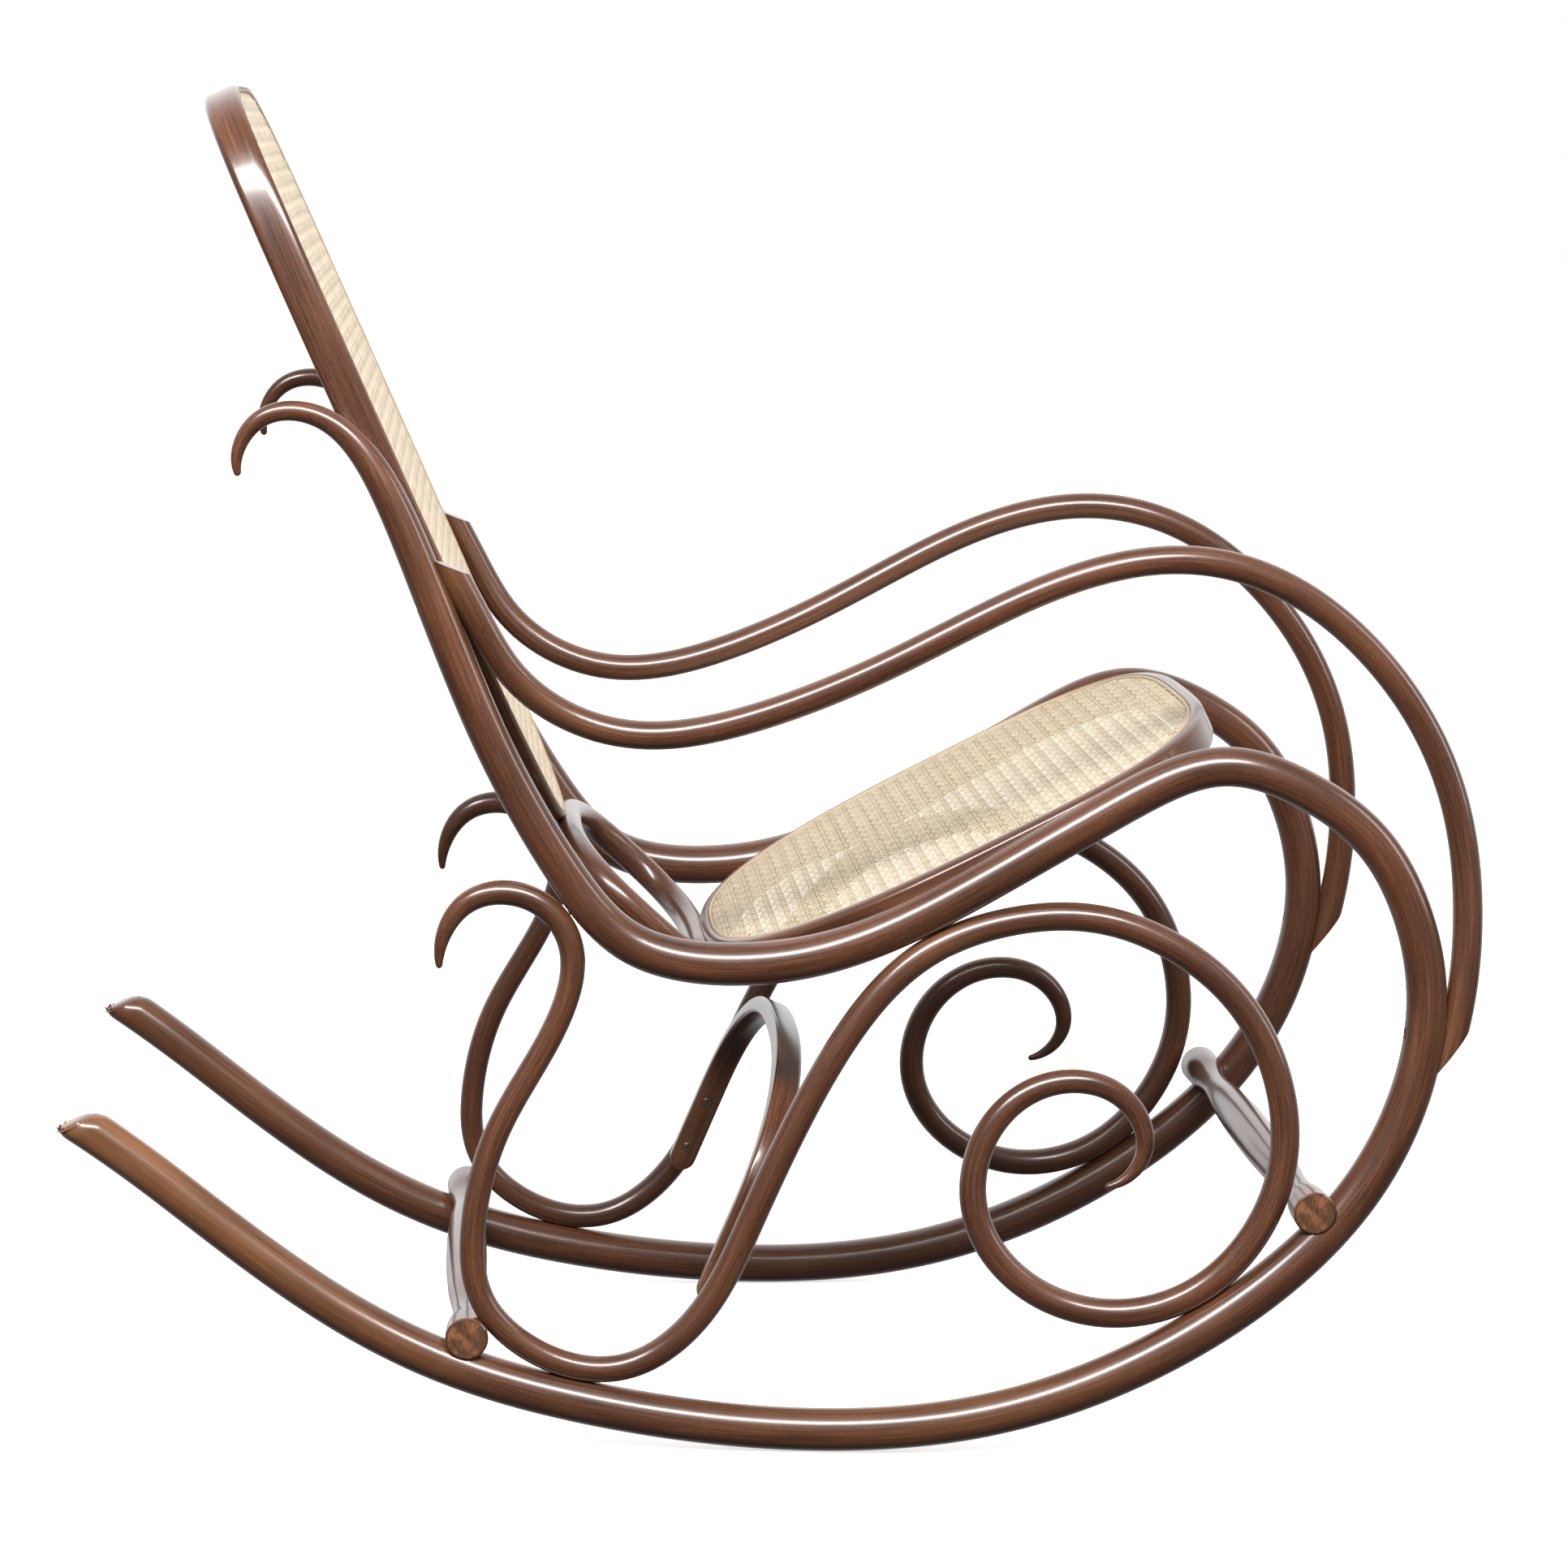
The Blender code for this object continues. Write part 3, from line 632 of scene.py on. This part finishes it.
def mirrored(obj, name):
    """The left-hand copy of a right-hand piece, with its own stretch of grain and less wear."""
    made = mirror_image(obj, name)
    mesh = made.data
    grain = mesh.attributes["grain"].data
    values = np.empty(len(grain) * 3, np.float32)
    grain.foreach_get("vector", values)
    values[0::3] += LEFT_GRAIN_START
    grain.foreach_set("vector", values)
    for value in mesh.attributes["worn"].data:
        value.value *= LEFT_WEAR
    return made


def settle_piece(obj, node_name):
    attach(obj, "root")
    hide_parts(node_name)


def at(x, lateral, z):
    return DRAWING @ Vector((x, lateral, z))


# --- screws --------------------------------------------------------------------------------------

SCREW_REACH, SCREW_DEPTH, SHANK = 0.0042, 0.0028, 0.0021
SCREW_HOSTS = {
    "screw_scroll_hook": "scroll",
    "screw_scroll_seat": "scroll",
    "screw_scroll_loop": "rail",
    "screw_scroll_spiral": "rail",
    "screw_arm": "rail",
    "screw_stretcher": "rail",
    "screw_back": "back",
    "screw_seat": "seat",
    "screw_bow_back": "back",
    "screw_bow_seat": "seat",
    "screw_arch": "arch",
}


def screw_place(name):
    """Where the screw stands: its head's middle, its direction and its length."""
    points = np.array([tuple(v.co) for v in frame["nodes"][name].data.vertices])
    middle = (points.min(0) + points.max(0)) / 2
    direction = np.linalg.svd(points - points.mean(0), full_matrices=False)[2][0]
    along = (points - middle) @ direction
    across = np.linalg.norm(points - middle - along[:, None] * direction, axis=1)
    if along[np.argmax(across)] > 0:
        direction, along = -direction, -along
    head = points[along < along.min() + 1e-4].mean(0)
    return Vector(head), Vector(direction), float(np.ptp(along))


def turned(name, rows, sides, start, direction):
    """A turned solid from (height, radius) rows, standing on start along direction."""
    turns = math.tau * np.arange(sides) / sides
    heights, reach = np.array(rows).T
    rings = np.stack(
        [
            reach[:, None] * np.cos(turns),
            reach[:, None] * np.sin(turns),
            np.broadcast_to(heights[:, None], (len(rows), sides)),
        ],
        2,
    )
    turn = Vector(direction).to_track_quat("Z", "Y").to_matrix().to_4x4()
    return loft(name, moved(Matrix.Translation(start) @ turn, rings))


def screw_hole(name):
    head, direction, _ = screw_place(name)
    wide = SCREW_REACH + GAP
    rows = [(-0.006, wide), (0.0003, wide), (SCREW_DEPTH + GAP, SHANK + GAP), (0.009, SHANK + GAP)]
    return turned("hole", rows, 28, head, direction)


def bore(obj, host, ending=""):
    """Cuts the seats of the screws whose heads lie in this piece."""
    for name in sorted(frame["nodes"]):
        for start, owner in SCREW_HOSTS.items():
            if name.startswith(start) and owner == host and name.endswith(ending):
                hole = screw_hole(name)
                cut(obj, hole)
                drop(hole)
                break


def make_screws():
    for name in sorted(frame["nodes"]):
        if not name.startswith("screw"):
            continue
        head, direction, length = screw_place(name)
        rows = [
            (0.0001, SCREW_REACH - 0.0006),
            (0.0004, SCREW_REACH - 0.0001),
            (0.0008, SCREW_REACH - 0.0003),
            (SCREW_DEPTH, SHANK),
        ]
        for step in range(1, 12):
            height = SCREW_DEPTH + (length - SCREW_DEPTH) * step / 12
            rows.append((height, SHANK - (0.0005 if step % 2 else 0.0)))
        rows += [(length - 0.002, SHANK * 0.8), (length - 0.0002, 0.0004)]
        made = turned("cross_" + name, rows, 32, head, direction)
        turn = direction.to_track_quat("Z", "Y").to_matrix().to_4x4()
        for quarter in (0, 1):
            work = bmesh.new()
            bmesh.ops.create_cube(work, size=1.0)
            bmesh.ops.scale(work, vec=(0.0044, 0.00085, 0.0030), verts=work.verts)
            mesh = bpy.data.meshes.new("recess")
            work.to_mesh(mesh)
            work.free()
            tool = bpy.data.objects.new("recess", mesh)
            bpy.context.scene.collection.objects.link(tool)
            spin = Matrix.Rotation(math.pi / 2 * quarter + len(name), 4, "Z")
            tool.matrix_world = Matrix.Translation(head) @ turn @ spin
            cut(made, tool)
            drop(tool)
        shade(made, STEEL, 30.0)
        settle_piece(made, name)


# --- side frames ---------------------------------------------------------------------------------


END_BEVEL = 0.0012  # bevel round a stretcher's sawn ends


def stretcher_rows(half_length):
    """The turning as a smooth profile with eased ends."""
    share = np.linspace(0.0, 1.0, 41)
    stations, radii = np.array(TURNING).T
    flat = np.interp(share, stations, radii)
    for _ in range(3):
        flat[1:-1] = (flat[:-2] + 2 * flat[1:-1] + flat[2:]) / 4
    half = [(half_length * s, r) for s, r in zip(share, flat)]
    half[-1] = (half_length - END_BEVEL, half[-1][1])
    half.append((half_length, half[-1][1] - END_BEVEL))
    return [(-y, r) for y, r in reversed(half)] + half[1:]


def make_stretcher(end):
    name = "stretcher_" + end
    low, high = (Vector(corner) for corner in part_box(name))
    middle, half_length = (low + high) / 2, (high.y - low.y) / 2
    rows = stretcher_rows(half_length)
    made = turned("turned_" + name, rows, 48, middle, (0, 1, 0))
    count = 121
    points = np.zeros((count, 3)) + np.array(middle)
    points[:, 1] = np.linspace(-half_length, half_length, count)
    line = Line(points, (0.0, 0.0, 1.0))
    ends = [(middle + Vector((0, s * half_length, 0)), 0.02, 0.15) for s in (-1, 1)]
    finish_wood(made, line, ends, start=3.0 if end == "rear" else 11.0)
    made.data.materials.append(END_GRAIN)
    for face in made.data.polygons:
        if abs(face.normal.y) > 0.9 and abs(face.center.y) > half_length - 0.002:
            face.material_index = 1
    room_rows = [(y, r + GAP) for y, r in rows]
    room_rows[0] = (-1.05 * half_length, rows[0][1] + END_BEVEL + GAP)
    room_rows[-1] = (1.05 * half_length, rows[0][1] + END_BEVEL + GAP)
    room = turned("room", room_rows, 48, middle, (0, 1, 0))
    settle_piece(made, name)
    return room


rooms = [make_stretcher(end) for end in STRETCHERS]
rail, rail_line = rod("bent_side_rail_right", SIDE_RAIL)
tip_block = block(*TIP_CUT)
cut(rail, tip_block)
ease(rail, rail_line, *TIP_CUT, TIP_EASE_WIDTH, TIP_EASE_PULL)
for room in rooms:
    cut(rail, room)
bore(rail, "rail", "right")
runner_tip = at(-0.612, -0.228, 0.266)
rail_worn = [
    (runner_tip, 0.10, 0.62),
    (at(-0.50, -0.227, 0.18), 0.11, 0.36),
    (at(-0.40, -0.229, 0.105), 0.08, 0.18),
    (at(0.06, -0.255, 0.012), 0.16, 0.22),
]
finish_wood(rail, rail_line, rail_worn)
rail_room, _ = rod("rail_room", SIDE_RAIL, GAP)

scroll, scroll_line = rod("bent_scroll_right", SCROLL, sides=28)
cut(scroll, rail_room)
for room in rooms:
    cut(scroll, room)
bore(scroll, "scroll", "right")
finish_wood(scroll, scroll_line, [(at(0.04, -0.236, 0.40), 0.05, 0.20)], start=2.0)
scroll_room, _ = rod("scroll_room", SCROLL, GAP, sides=28)

arm, arm_line = rod("bent_arm_right", ARM, sides=28)
arm_blocks = [block(*ARM_REAR_CUT), block(*ARM_FRONT_CUT)]
for tool in arm_blocks:
    cut(arm, tool)
cut(arm, rail_room)
arm_worn = [
    (at(0.440, -0.252, 0.325), 0.040, 0.16),
    (at(-0.325, -0.2185, 0.680), 0.020, 0.30),
    (at(-0.26, -0.209, 0.575), 0.07, 0.16),
]
finish_wood(arm, arm_line, arm_worn, start=4.0)
for made, kind in ((rail, "side_rail"), (scroll, "scroll"), (arm, "arm")):
    settle_piece(made, kind + "_right")
    settle_piece(mirrored(made, f"bent_{kind}_left"), kind + "_left")

# --- caned hoops ---------------------------------------------------------------------------------


def oval(half_width, ends, count):
    """A rounded outline, evenly spaced: two superellipse halves with their own length and roundness."""
    turns = math.tau * np.arange(16 * count) / (16 * count)
    cos, sin = np.cos(turns), np.sin(turns)
    front = cos > 0
    half_length = np.where(front, ends[0][0], ends[1][0])
    power = 2 / np.where(front, ends[0][1], ends[1][1])
    x = half_length * np.sign(cos) * np.abs(cos) ** power
    y = half_width * np.sign(sin) * np.abs(sin) ** power
    ring = np.stack([np.append(x, x[0]), np.append(y, y[0])], 1)
    run = np.concatenate([[0.0], np.cumsum(np.linalg.norm(np.diff(ring, axis=0), axis=1))])
    want = run[-1] * np.arange(count) / count
    return np.stack([np.interp(want, run, ring[:, 0]), np.interp(want, run, ring[:, 1])], 1)


def outward(outline):
    along = unit(np.roll(outline, -1, 0) - np.roll(outline, 1, 0))
    return np.stack([along[:, 1], -along[:, 0]], 1)


def flat_sweep(name, outline, section, place, closed=True, scale=None):
    """Sweeps a section (outwards, up) round a flat outline; gives the object and its line."""
    if closed:
        out = outward(outline)
    else:
        along = unit(np.gradient(outline, axis=0))
        out = np.stack([along[:, 1], -along[:, 0]], 1)
    section = np.array(section)
    across = np.broadcast_to(section[:, 0], (len(outline), len(section)))
    up = np.broadcast_to(section[:, 1], across.shape)
    if scale is not None:
        up = up * scale[:, None]
    rings = np.empty((len(outline), len(section), 3))
    rings[:, :, 0] = outline[:, 0, None] + out[:, 0, None] * across
    rings[:, :, 1] = outline[:, 1, None] + out[:, 1, None] * across
    rings[:, :, 2] = up
    points = np.column_stack([outline, np.zeros(len(outline))])
    sideways = np.column_stack([out, np.zeros(len(outline))])
    turn = np.array(place)[:3, :3]
    line = Line(moved(place, points), sideways @ turn.T, closed)
    return loft(name, moved(place, rings), closed), line


def limb(shape):
    """Section of a caned hoop: rebate for the cane, groove for its cord, rounded elsewhere."""
    half_width, depth = shape["section"]
    edge, corner, crown = shape["cane_edge"], shape["corner"], shape["crown"]
    groove = edge - SPLINE_WIDTH - GAP
    steps = 9
    outline = []
    for quarter, across in enumerate((-1, 1)):
        for step in range(steps + 1):
            turn = math.pi * (1 + quarter / 2 + step / steps / 2)
            x = across * (half_width - corner) + corner * math.cos(turn)
            outline.append((x, corner - depth + corner * math.sin(turn)))
    wide = half_width - edge - GAP
    for step in range(2 * steps + 1):
        turn = math.pi * step / steps / 4
        x = half_width - wide + wide * math.cos(turn)
        outline.append((x, crown * (math.sin(turn) - 1) + 0.0004))
    floor = 0.0003 - SPLINE_HEIGHT - GAP
    ledge = -CANE - GAP
    lip = edge + GAP
    outline[-1] = (lip + 0.0005, outline[-1][1])
    outline += [(lip, outline[-1][1] - 0.0005), (lip, floor), (groove, floor), (groove, ledge)]
    outline += [(0.003 - half_width, ledge), (0.0014 - half_width, ledge - 0.0005)]
    outline += [(0.0004 - half_width, ledge - 0.0018), (-half_width, ledge - 0.004)]
    return outline


CORD = [(-1.0, -1.0), (1.0, -1.0), (1.0, -0.25)]
CORD += [(math.cos(math.pi * k / 8), -0.25 + 0.25 * math.sin(math.pi * k / 8)) for k in range(1, 8)]
CORD += [(-1.0, -0.25)]

PITCH = 0.0127  # the cane's mesh
PAIR = 0.0031  # between the two strands of a pair
STRAND = (0.0024, 0.00045)  # width and thickness
DIAGONAL = (0.0022, 0.00040)
STRAND_LIFT = 0.00026  # how far a strand rises and dips at each crossing
DIAGONAL_LIFT = 0.00052
STRAY = 0.00018  # how far a strand may lie off its place
SHORTEST_STRAND = 0.006


def ribbon(points, across, width, thick):
    """Rings of a split-cane strand: flat below, crowned above, along flat points with heights."""
    shape = ((-0.5, -0.5), (-0.42, 0.15), (0.0, 0.5), (0.42, 0.15), (0.5, -0.5))
    rings = np.repeat(points[:, None], len(shape), 1)
    for k, (side, up) in enumerate(shape):
        rings[:, k, 0] += side * width * across[0]
        rings[:, k, 1] += side * width * across[1]
        rings[:, k, 2] += up * thick
    return rings


def clip(start, direction, outline):
    """Where a flat line enters and leaves a convex outline, as distances from start."""
    normal = np.array([-direction[1], direction[0]])
    side = (outline - start) @ normal
    after = np.roll(side, -1)
    cross = side * after < 0
    if cross.sum() != 2:
        return None
    share = side[cross] / (side[cross] - after[cross])
    hits = outline[cross] + share[:, None] * (np.roll(outline, -1, 0)[cross] - outline[cross])
    return sorted((hits - start) @ direction)


def crossings(low, high):
    """The places of the strands of every pair between two limits, with their parity."""
    first, last = math.floor(low / PITCH) - 1, math.ceil(high / PITCH) + 1
    places = []
    for k in range(first, last + 1):
        places.append((k * PITCH - PAIR / 2, 0))
        places.append((k * PITCH + PAIR / 2, 1))
    return places


def weave(name, outline, place, material, seed):
    """Cane in pairs both ways with single diagonals, cut to the outline, as one mesh of strands."""
    draw = random.Random(seed)
    low, high = outline.min(0), outline.max(0)
    middle_height = -CANE / 2
    pieces = []

    def strand(start, direction, stations, heights, width, thick):
        ends = clip(np.array(start), np.array(direction), outline)
        if ends is None or ends[1] - ends[0] < SHORTEST_STRAND:
            return
        inside = [(s, h) for s, h in zip(stations, heights) if ends[0] < s < ends[1]]
        if len(inside) < 2:
            return
        rows = [(ends[0], middle_height)] + inside + [(ends[1], middle_height)]
        s, h = np.array(rows).T
        points = np.stack([start[0] + s * direction[0], start[1] + s * direction[1], h], 1)
        across = (-direction[1], direction[0])
        rings = ribbon(points, across, width * draw.uniform(0.93, 1.05), thick)
        pieces.append((rings, s, draw.random()))

    for axis in (0, 1):
        other = 1 - axis
        places = crossings(low[other], high[other])
        cross = crossings(low[axis], high[axis])
        for offset, half in places:
            jitter = draw.uniform(-STRAY, STRAY)
            stations, heights = [], []
            for station, cross_half in cross:
                over = 1 if (half + cross_half + axis) % 2 else -1
                stations.append(station)
                heights.append(middle_height + STRAND_LIFT * over)
                if cross_half == 1:
                    for share in (0.33, 0.66):
                        stations.append(station + (PITCH - PAIR) * share)
                        heights.append(middle_height + STRAND_LIFT * over * (0.4 if share < 0.5 else -0.4))
            direction = [0.0, 0.0]
            direction[axis] = 1.0
            start = [0.0, 0.0]
            start[other] = offset + jitter
            strand(start, direction, stations, heights, *STRAND)
    root = math.sqrt(0.5)
    reach = int((high - low).max() / PITCH) * 2 + 4
    for lean in (1, -1):
        direction = (root, lean * root)
        for k in range(-reach, reach + 1):
            start = (k * PITCH, 0.0)
            stations, heights = [], []
            for m in range(-2 * reach, 2 * reach + 1):
                over = lean if (m % 2) else -lean
                for part, rise in ((-0.25, 1.0), (0.0, 1.15), (0.25, 1.0), (0.5, 0.0)):
                    stations.append((m + part) * PITCH / root)
                    heights.append(middle_height + DIAGONAL_LIFT * over * rise)
            strand(start, direction, stations, heights, *DIAGONAL)

    verts, faces, grain, tones = [], [], [], []
    for rings, s, tone in pieces:
        base = len(verts)
        count, around = rings.shape[:2]
        verts.extend(map(tuple, rings.reshape(-1, 3)))
        for i in range(count - 1):
            a, b = base + i * around, base + (i + 1) * around
            for k in range(around):
                after = (k + 1) % around
                faces.append((a + k, b + k, b + after, a + after))
        faces.append(tuple(range(base, base + around)))
        faces.append(tuple(reversed(range(base + (count - 1) * around, base + count * around))))
        for i in range(count):
            for k in range(around):
                grain.append((s[i] + 3 * tone, (k - 2) * 0.0005 + tone, tone))
                tones.append(tone)
    mesh = bpy.data.meshes.new(name)
    mesh.from_pydata(moved(place, np.array(verts)).tolist(), [], faces)
    set_attribute(mesh, "grain", "FLOAT_VECTOR", grain)
    set_attribute(mesh, "strand", "FLOAT", tones)
    made = bpy.data.objects.new(name, mesh)
    bpy.context.scene.collection.objects.link(made)
    work = bmesh.new()
    work.from_mesh(mesh)
    bmesh.ops.recalc_face_normals(work, faces=work.faces)
    work.to_mesh(mesh)
    work.free()
    shade(made, material, 50.0)
    return made


def caned_hoop(kind, shape, material, tools, seed, worn=()):
    place = tilted(shape["point"], shape["slope"])
    middle = oval(shape["half_width"], shape["ends"], 192)
    out = outward(middle)
    hoop, line = flat_sweep(f"bent_{kind}_frame", middle, limb(shape), place)
    for tool in tools:
        cut(hoop, tool)
    bore(hoop, kind)
    finish_wood(hoop, line, worn, start=5.0 + seed)
    settle_piece(hoop, kind + "_frame")
    half = SPLINE_WIDTH / 2
    section = [(x * half, 0.0004 + y * SPLINE_HEIGHT) for x, y in CORD]
    edge = shape["cane_edge"]
    cord, cord_line = flat_sweep(f"reed_{kind}_spline", middle + out * (edge - half), section, place)
    grain = []
    for vertex in cord.data.vertices:
        near = cord_line.tree.find(vertex.co)[1]
        off = np.array(vertex.co) - cord_line.points[near]
        grain.append((cord_line.run[near], off @ cord_line.u[near], off @ cord_line.v[near]))
    set_attribute(cord.data, "grain", "FLOAT_VECTOR", grain)
    set_attribute(cord.data, "strand", "FLOAT", [0.4] * len(grain))
    shade(cord, REED, 40.0)
    settle_piece(cord, kind + "_spline")
    panel = middle + out * (edge - SPLINE_WIDTH - GAP)
    cane = weave(f"woven_{kind}_cane", panel, place, material, seed)
    settle_piece(cane, kind + "_cane")


def mirror_tool(tool):
    return mirror_image(tool, tool.name + "_left")


bow_line = Vector(BOW_FOOT) - Vector(BOW_TOP)
bow_place = tilted((Vector(BOW_TOP) + Vector(BOW_FOOT)) / 2, math.atan2(bow_line.y, bow_line.x))
bow_ends = ((bow_line.length / 2, 2.8), (bow_line.length / 2, 2.8))
bow_outline = oval(BOW_HALF_WIDTH, bow_ends, 160)


def circle(radius, sides=28):
    turns = math.tau * np.arange(sides) / sides
    return np.stack([radius * np.cos(turns), radius * np.sin(turns)], 1)


bow, bow_middle = flat_sweep("bent_back_bow", bow_outline, circle(BOW_RADIUS), bow_place)
finish_wood(bow, bow_middle, start=9.0)
settle_piece(bow, "back_bow")
bow_room, _ = flat_sweep("bow_room", bow_outline, circle(BOW_RADIUS + GAP), bow_place)
hoop_tools = [rail_room, mirror_tool(rail_room), bow_room]
caned_hoop("seat", SEAT, SEAT_CANE, hoop_tools, 1)
caned_hoop("back", BACK, BACK_CANE, hoop_tools, 2)

# --- arch under the seat -------------------------------------------------------------------------


def make_arch():
    power = 2 / ARCH_ROUNDNESS
    turns = np.linspace(math.pi / 2, -math.pi / 2, 121)[1:-1]
    x = ARCH_LEG + ARCH_RISE * np.abs(np.cos(turns)) ** power
    y = ARCH_HALF_WIDTH * np.sign(np.sin(turns)) * np.abs(np.sin(turns)) ** power
    leg = np.linspace(0.0, ARCH_LEG, 26)
    outline = np.concatenate(
        [
            np.column_stack([leg, np.full(len(leg), ARCH_HALF_WIDTH)]),
            np.column_stack([x, y]),
            np.column_stack([leg[::-1], np.full(len(leg), -ARCH_HALF_WIDTH)]),
        ]
    )
    half_thick, half_wide = ARCH_SECTION[0] / 2, ARCH_SECTION[1] / 2
    corner = 0.0032
    section = []
    for quarter, (a, b) in enumerate(((1, 1), (-1, 1), (-1, -1), (1, -1))):
        for step in range(7):
            turn = math.pi / 2 * (quarter + step / 6)
            across = a * (half_thick - corner) + corner * math.cos(turn)
            section.append((across, b * (half_wide - corner) + corner * math.sin(turn)))
    steps = np.linalg.norm(np.diff(outline, axis=0), axis=1)
    run = np.concatenate([[0.0], np.cumsum(steps)])
    from_end = np.minimum(run, run[-1] - run)
    share = np.clip(from_end / half_wide, 0.0, 1.0)
    ends = np.sqrt(np.clip(1 - (1 - share) ** 2, 0.09, 1.0))
    place = tilted(ARCH_FOOT, math.pi / 2 - ARCH_LEAN)
    made, line = flat_sweep("bent_seat_arch", outline, section, place, False, ends)
    for tool in (scroll_room, mirror_tool(scroll_room)):
        cut(made, tool)
    bore(made, "arch")
    feet = [(Vector(line.points[i]), 0.030, 0.1) for i in (0, -1)]
    finish_wood(made, line, feet, start=13.0)
    settle_piece(made, "seat_arch")


make_arch()
make_screws()
TOOL_NAMES = ("block", "room", "rail_room", "bow_room", "scroll_room", "rail_room_left", "scroll_room_left")
tools = [o for o in bpy.data.objects if o.name.split(".")[0] in TOOL_NAMES]
drop(*tools)

# --- floor, light and camera ---------------------------------------------------------------------


FLOOR_DROP = 0.0006  # the floor lies just below the runners
FLOOR_HALF = 30.0
STUDIO_FRONT, STUDIO_BEHIND, STUDIO_ABOVE, STUDIO_BELOW = 0.17, 1.15, 0.18, 0.40  # brightness


def make_floor():
    mesh = bpy.data.meshes.new("floor")
    work = bmesh.new()
    bmesh.ops.create_grid(work, x_segments=1, y_segments=1, size=FLOOR_HALF)
    work.to_mesh(mesh)
    work.free()
    floor = bpy.data.objects.new("floor", mesh)
    bpy.context.scene.collection.objects.link(floor)
    floor.location.z = -FLOOR_DROP
    made, tree, shader = new_material("pale_floor")
    place = node(tree, "TexCoord").outputs["Object"]
    tone = ramp(tree, noise(tree, place, (3.0, 3.0, 3.0)), ((0.3, (0.93,) * 3), (0.7, (0.95,) * 3)))
    tree.links.new(tone, shader.inputs["Base Color"])
    shader.inputs["Roughness"].default_value = 0.9
    shader.inputs["Emission Color"].default_value = (1.0, 1.0, 1.0, 1.0)
    shader.inputs["Emission Strength"].default_value = 0.72
    mesh.materials.append(made)
    floor.visible_diffuse = False
    floor.visible_glossy = False


def area_light(name, place, target, size, power):
    data = bpy.data.lights.new(name, "AREA")
    data.shape = "RECTANGLE"
    data.size, data.size_y = size
    data.energy = power
    light = bpy.data.objects.new(name, data)
    bpy.context.scene.collection.objects.link(light)
    light.location = place
    light.rotation_euler = (Vector(target) - Vector(place)).to_track_quat("-Z", "Y").to_euler()


make_floor()
area_light("long_box", (-0.4, -2.3, 2.6), (0.0, 0.0, 0.5), (3.2, 0.70), 190.0)
area_light("front_box", (2.6, -0.6, 1.6), (0.0, 0.0, 0.5), (0.4, 1.6), 14.0)


def make_world():
    """White behind the chair and overhead, dim on the camera's side; the camera itself sees plain white."""
    world = bpy.data.worlds.new("studio")
    bpy.context.scene.world = world
    world.use_nodes = True
    tree = world.node_tree
    background = tree.nodes["Background"]
    aim = node(tree, "TexCoord").outputs["Generated"]
    parts = node(tree, "SeparateXYZ", links={0: aim})
    behind = span(tree, parts.outputs["Y"], 0.15, 0.90, STUDIO_FRONT, STUDIO_BEHIND)
    above = span(tree, parts.outputs["Z"], -0.05, 0.9, 0.0, STUDIO_ABOVE)
    below = span(tree, parts.outputs["Z"], -0.30, 0.0, STUDIO_BELOW, 1.0)
    total = node(tree, "Math", operation="ADD")
    tree.links.new(behind, total.inputs[0])
    tree.links.new(above, total.inputs[1])
    lit = node(tree, "Math", operation="MULTIPLY")
    tree.links.new(total.outputs[0], lit.inputs[0])
    tree.links.new(below, lit.inputs[1])
    seen = node(tree, "LightPath").outputs["Is Camera Ray"]
    strength = node(tree, "Mix", {3: 1.0}, {0: seen, 2: lit.outputs[0]}, data_type="FLOAT")
    background.inputs["Color"].default_value = (1.0, 1.0, 1.0, 1.0)
    tree.links.new(strength.outputs[0], background.inputs["Strength"])


make_world()

scene = bpy.context.scene
scene.view_settings.view_transform = "Standard"
scene.view_settings.look = "None"

FOCAL = 101.146  # millimetres on a 36 mm sensor
EYE = Matrix.Translation((-0.30466, -3.51790, 1.01370))
AIM = Euler((math.pi / 2 - 0.149151, 0.0, -0.071106)).to_matrix().to_4x4()
camera = bpy.data.objects.new("camera", bpy.data.cameras.new("camera"))
camera.data.lens = FOCAL
camera.data.sensor_width = 36.0
scene.collection.objects.link(camera)
camera.matrix_world = DRAWING @ EYE @ AIM
scene.camera = camera

bpy.context.view_layer.update()
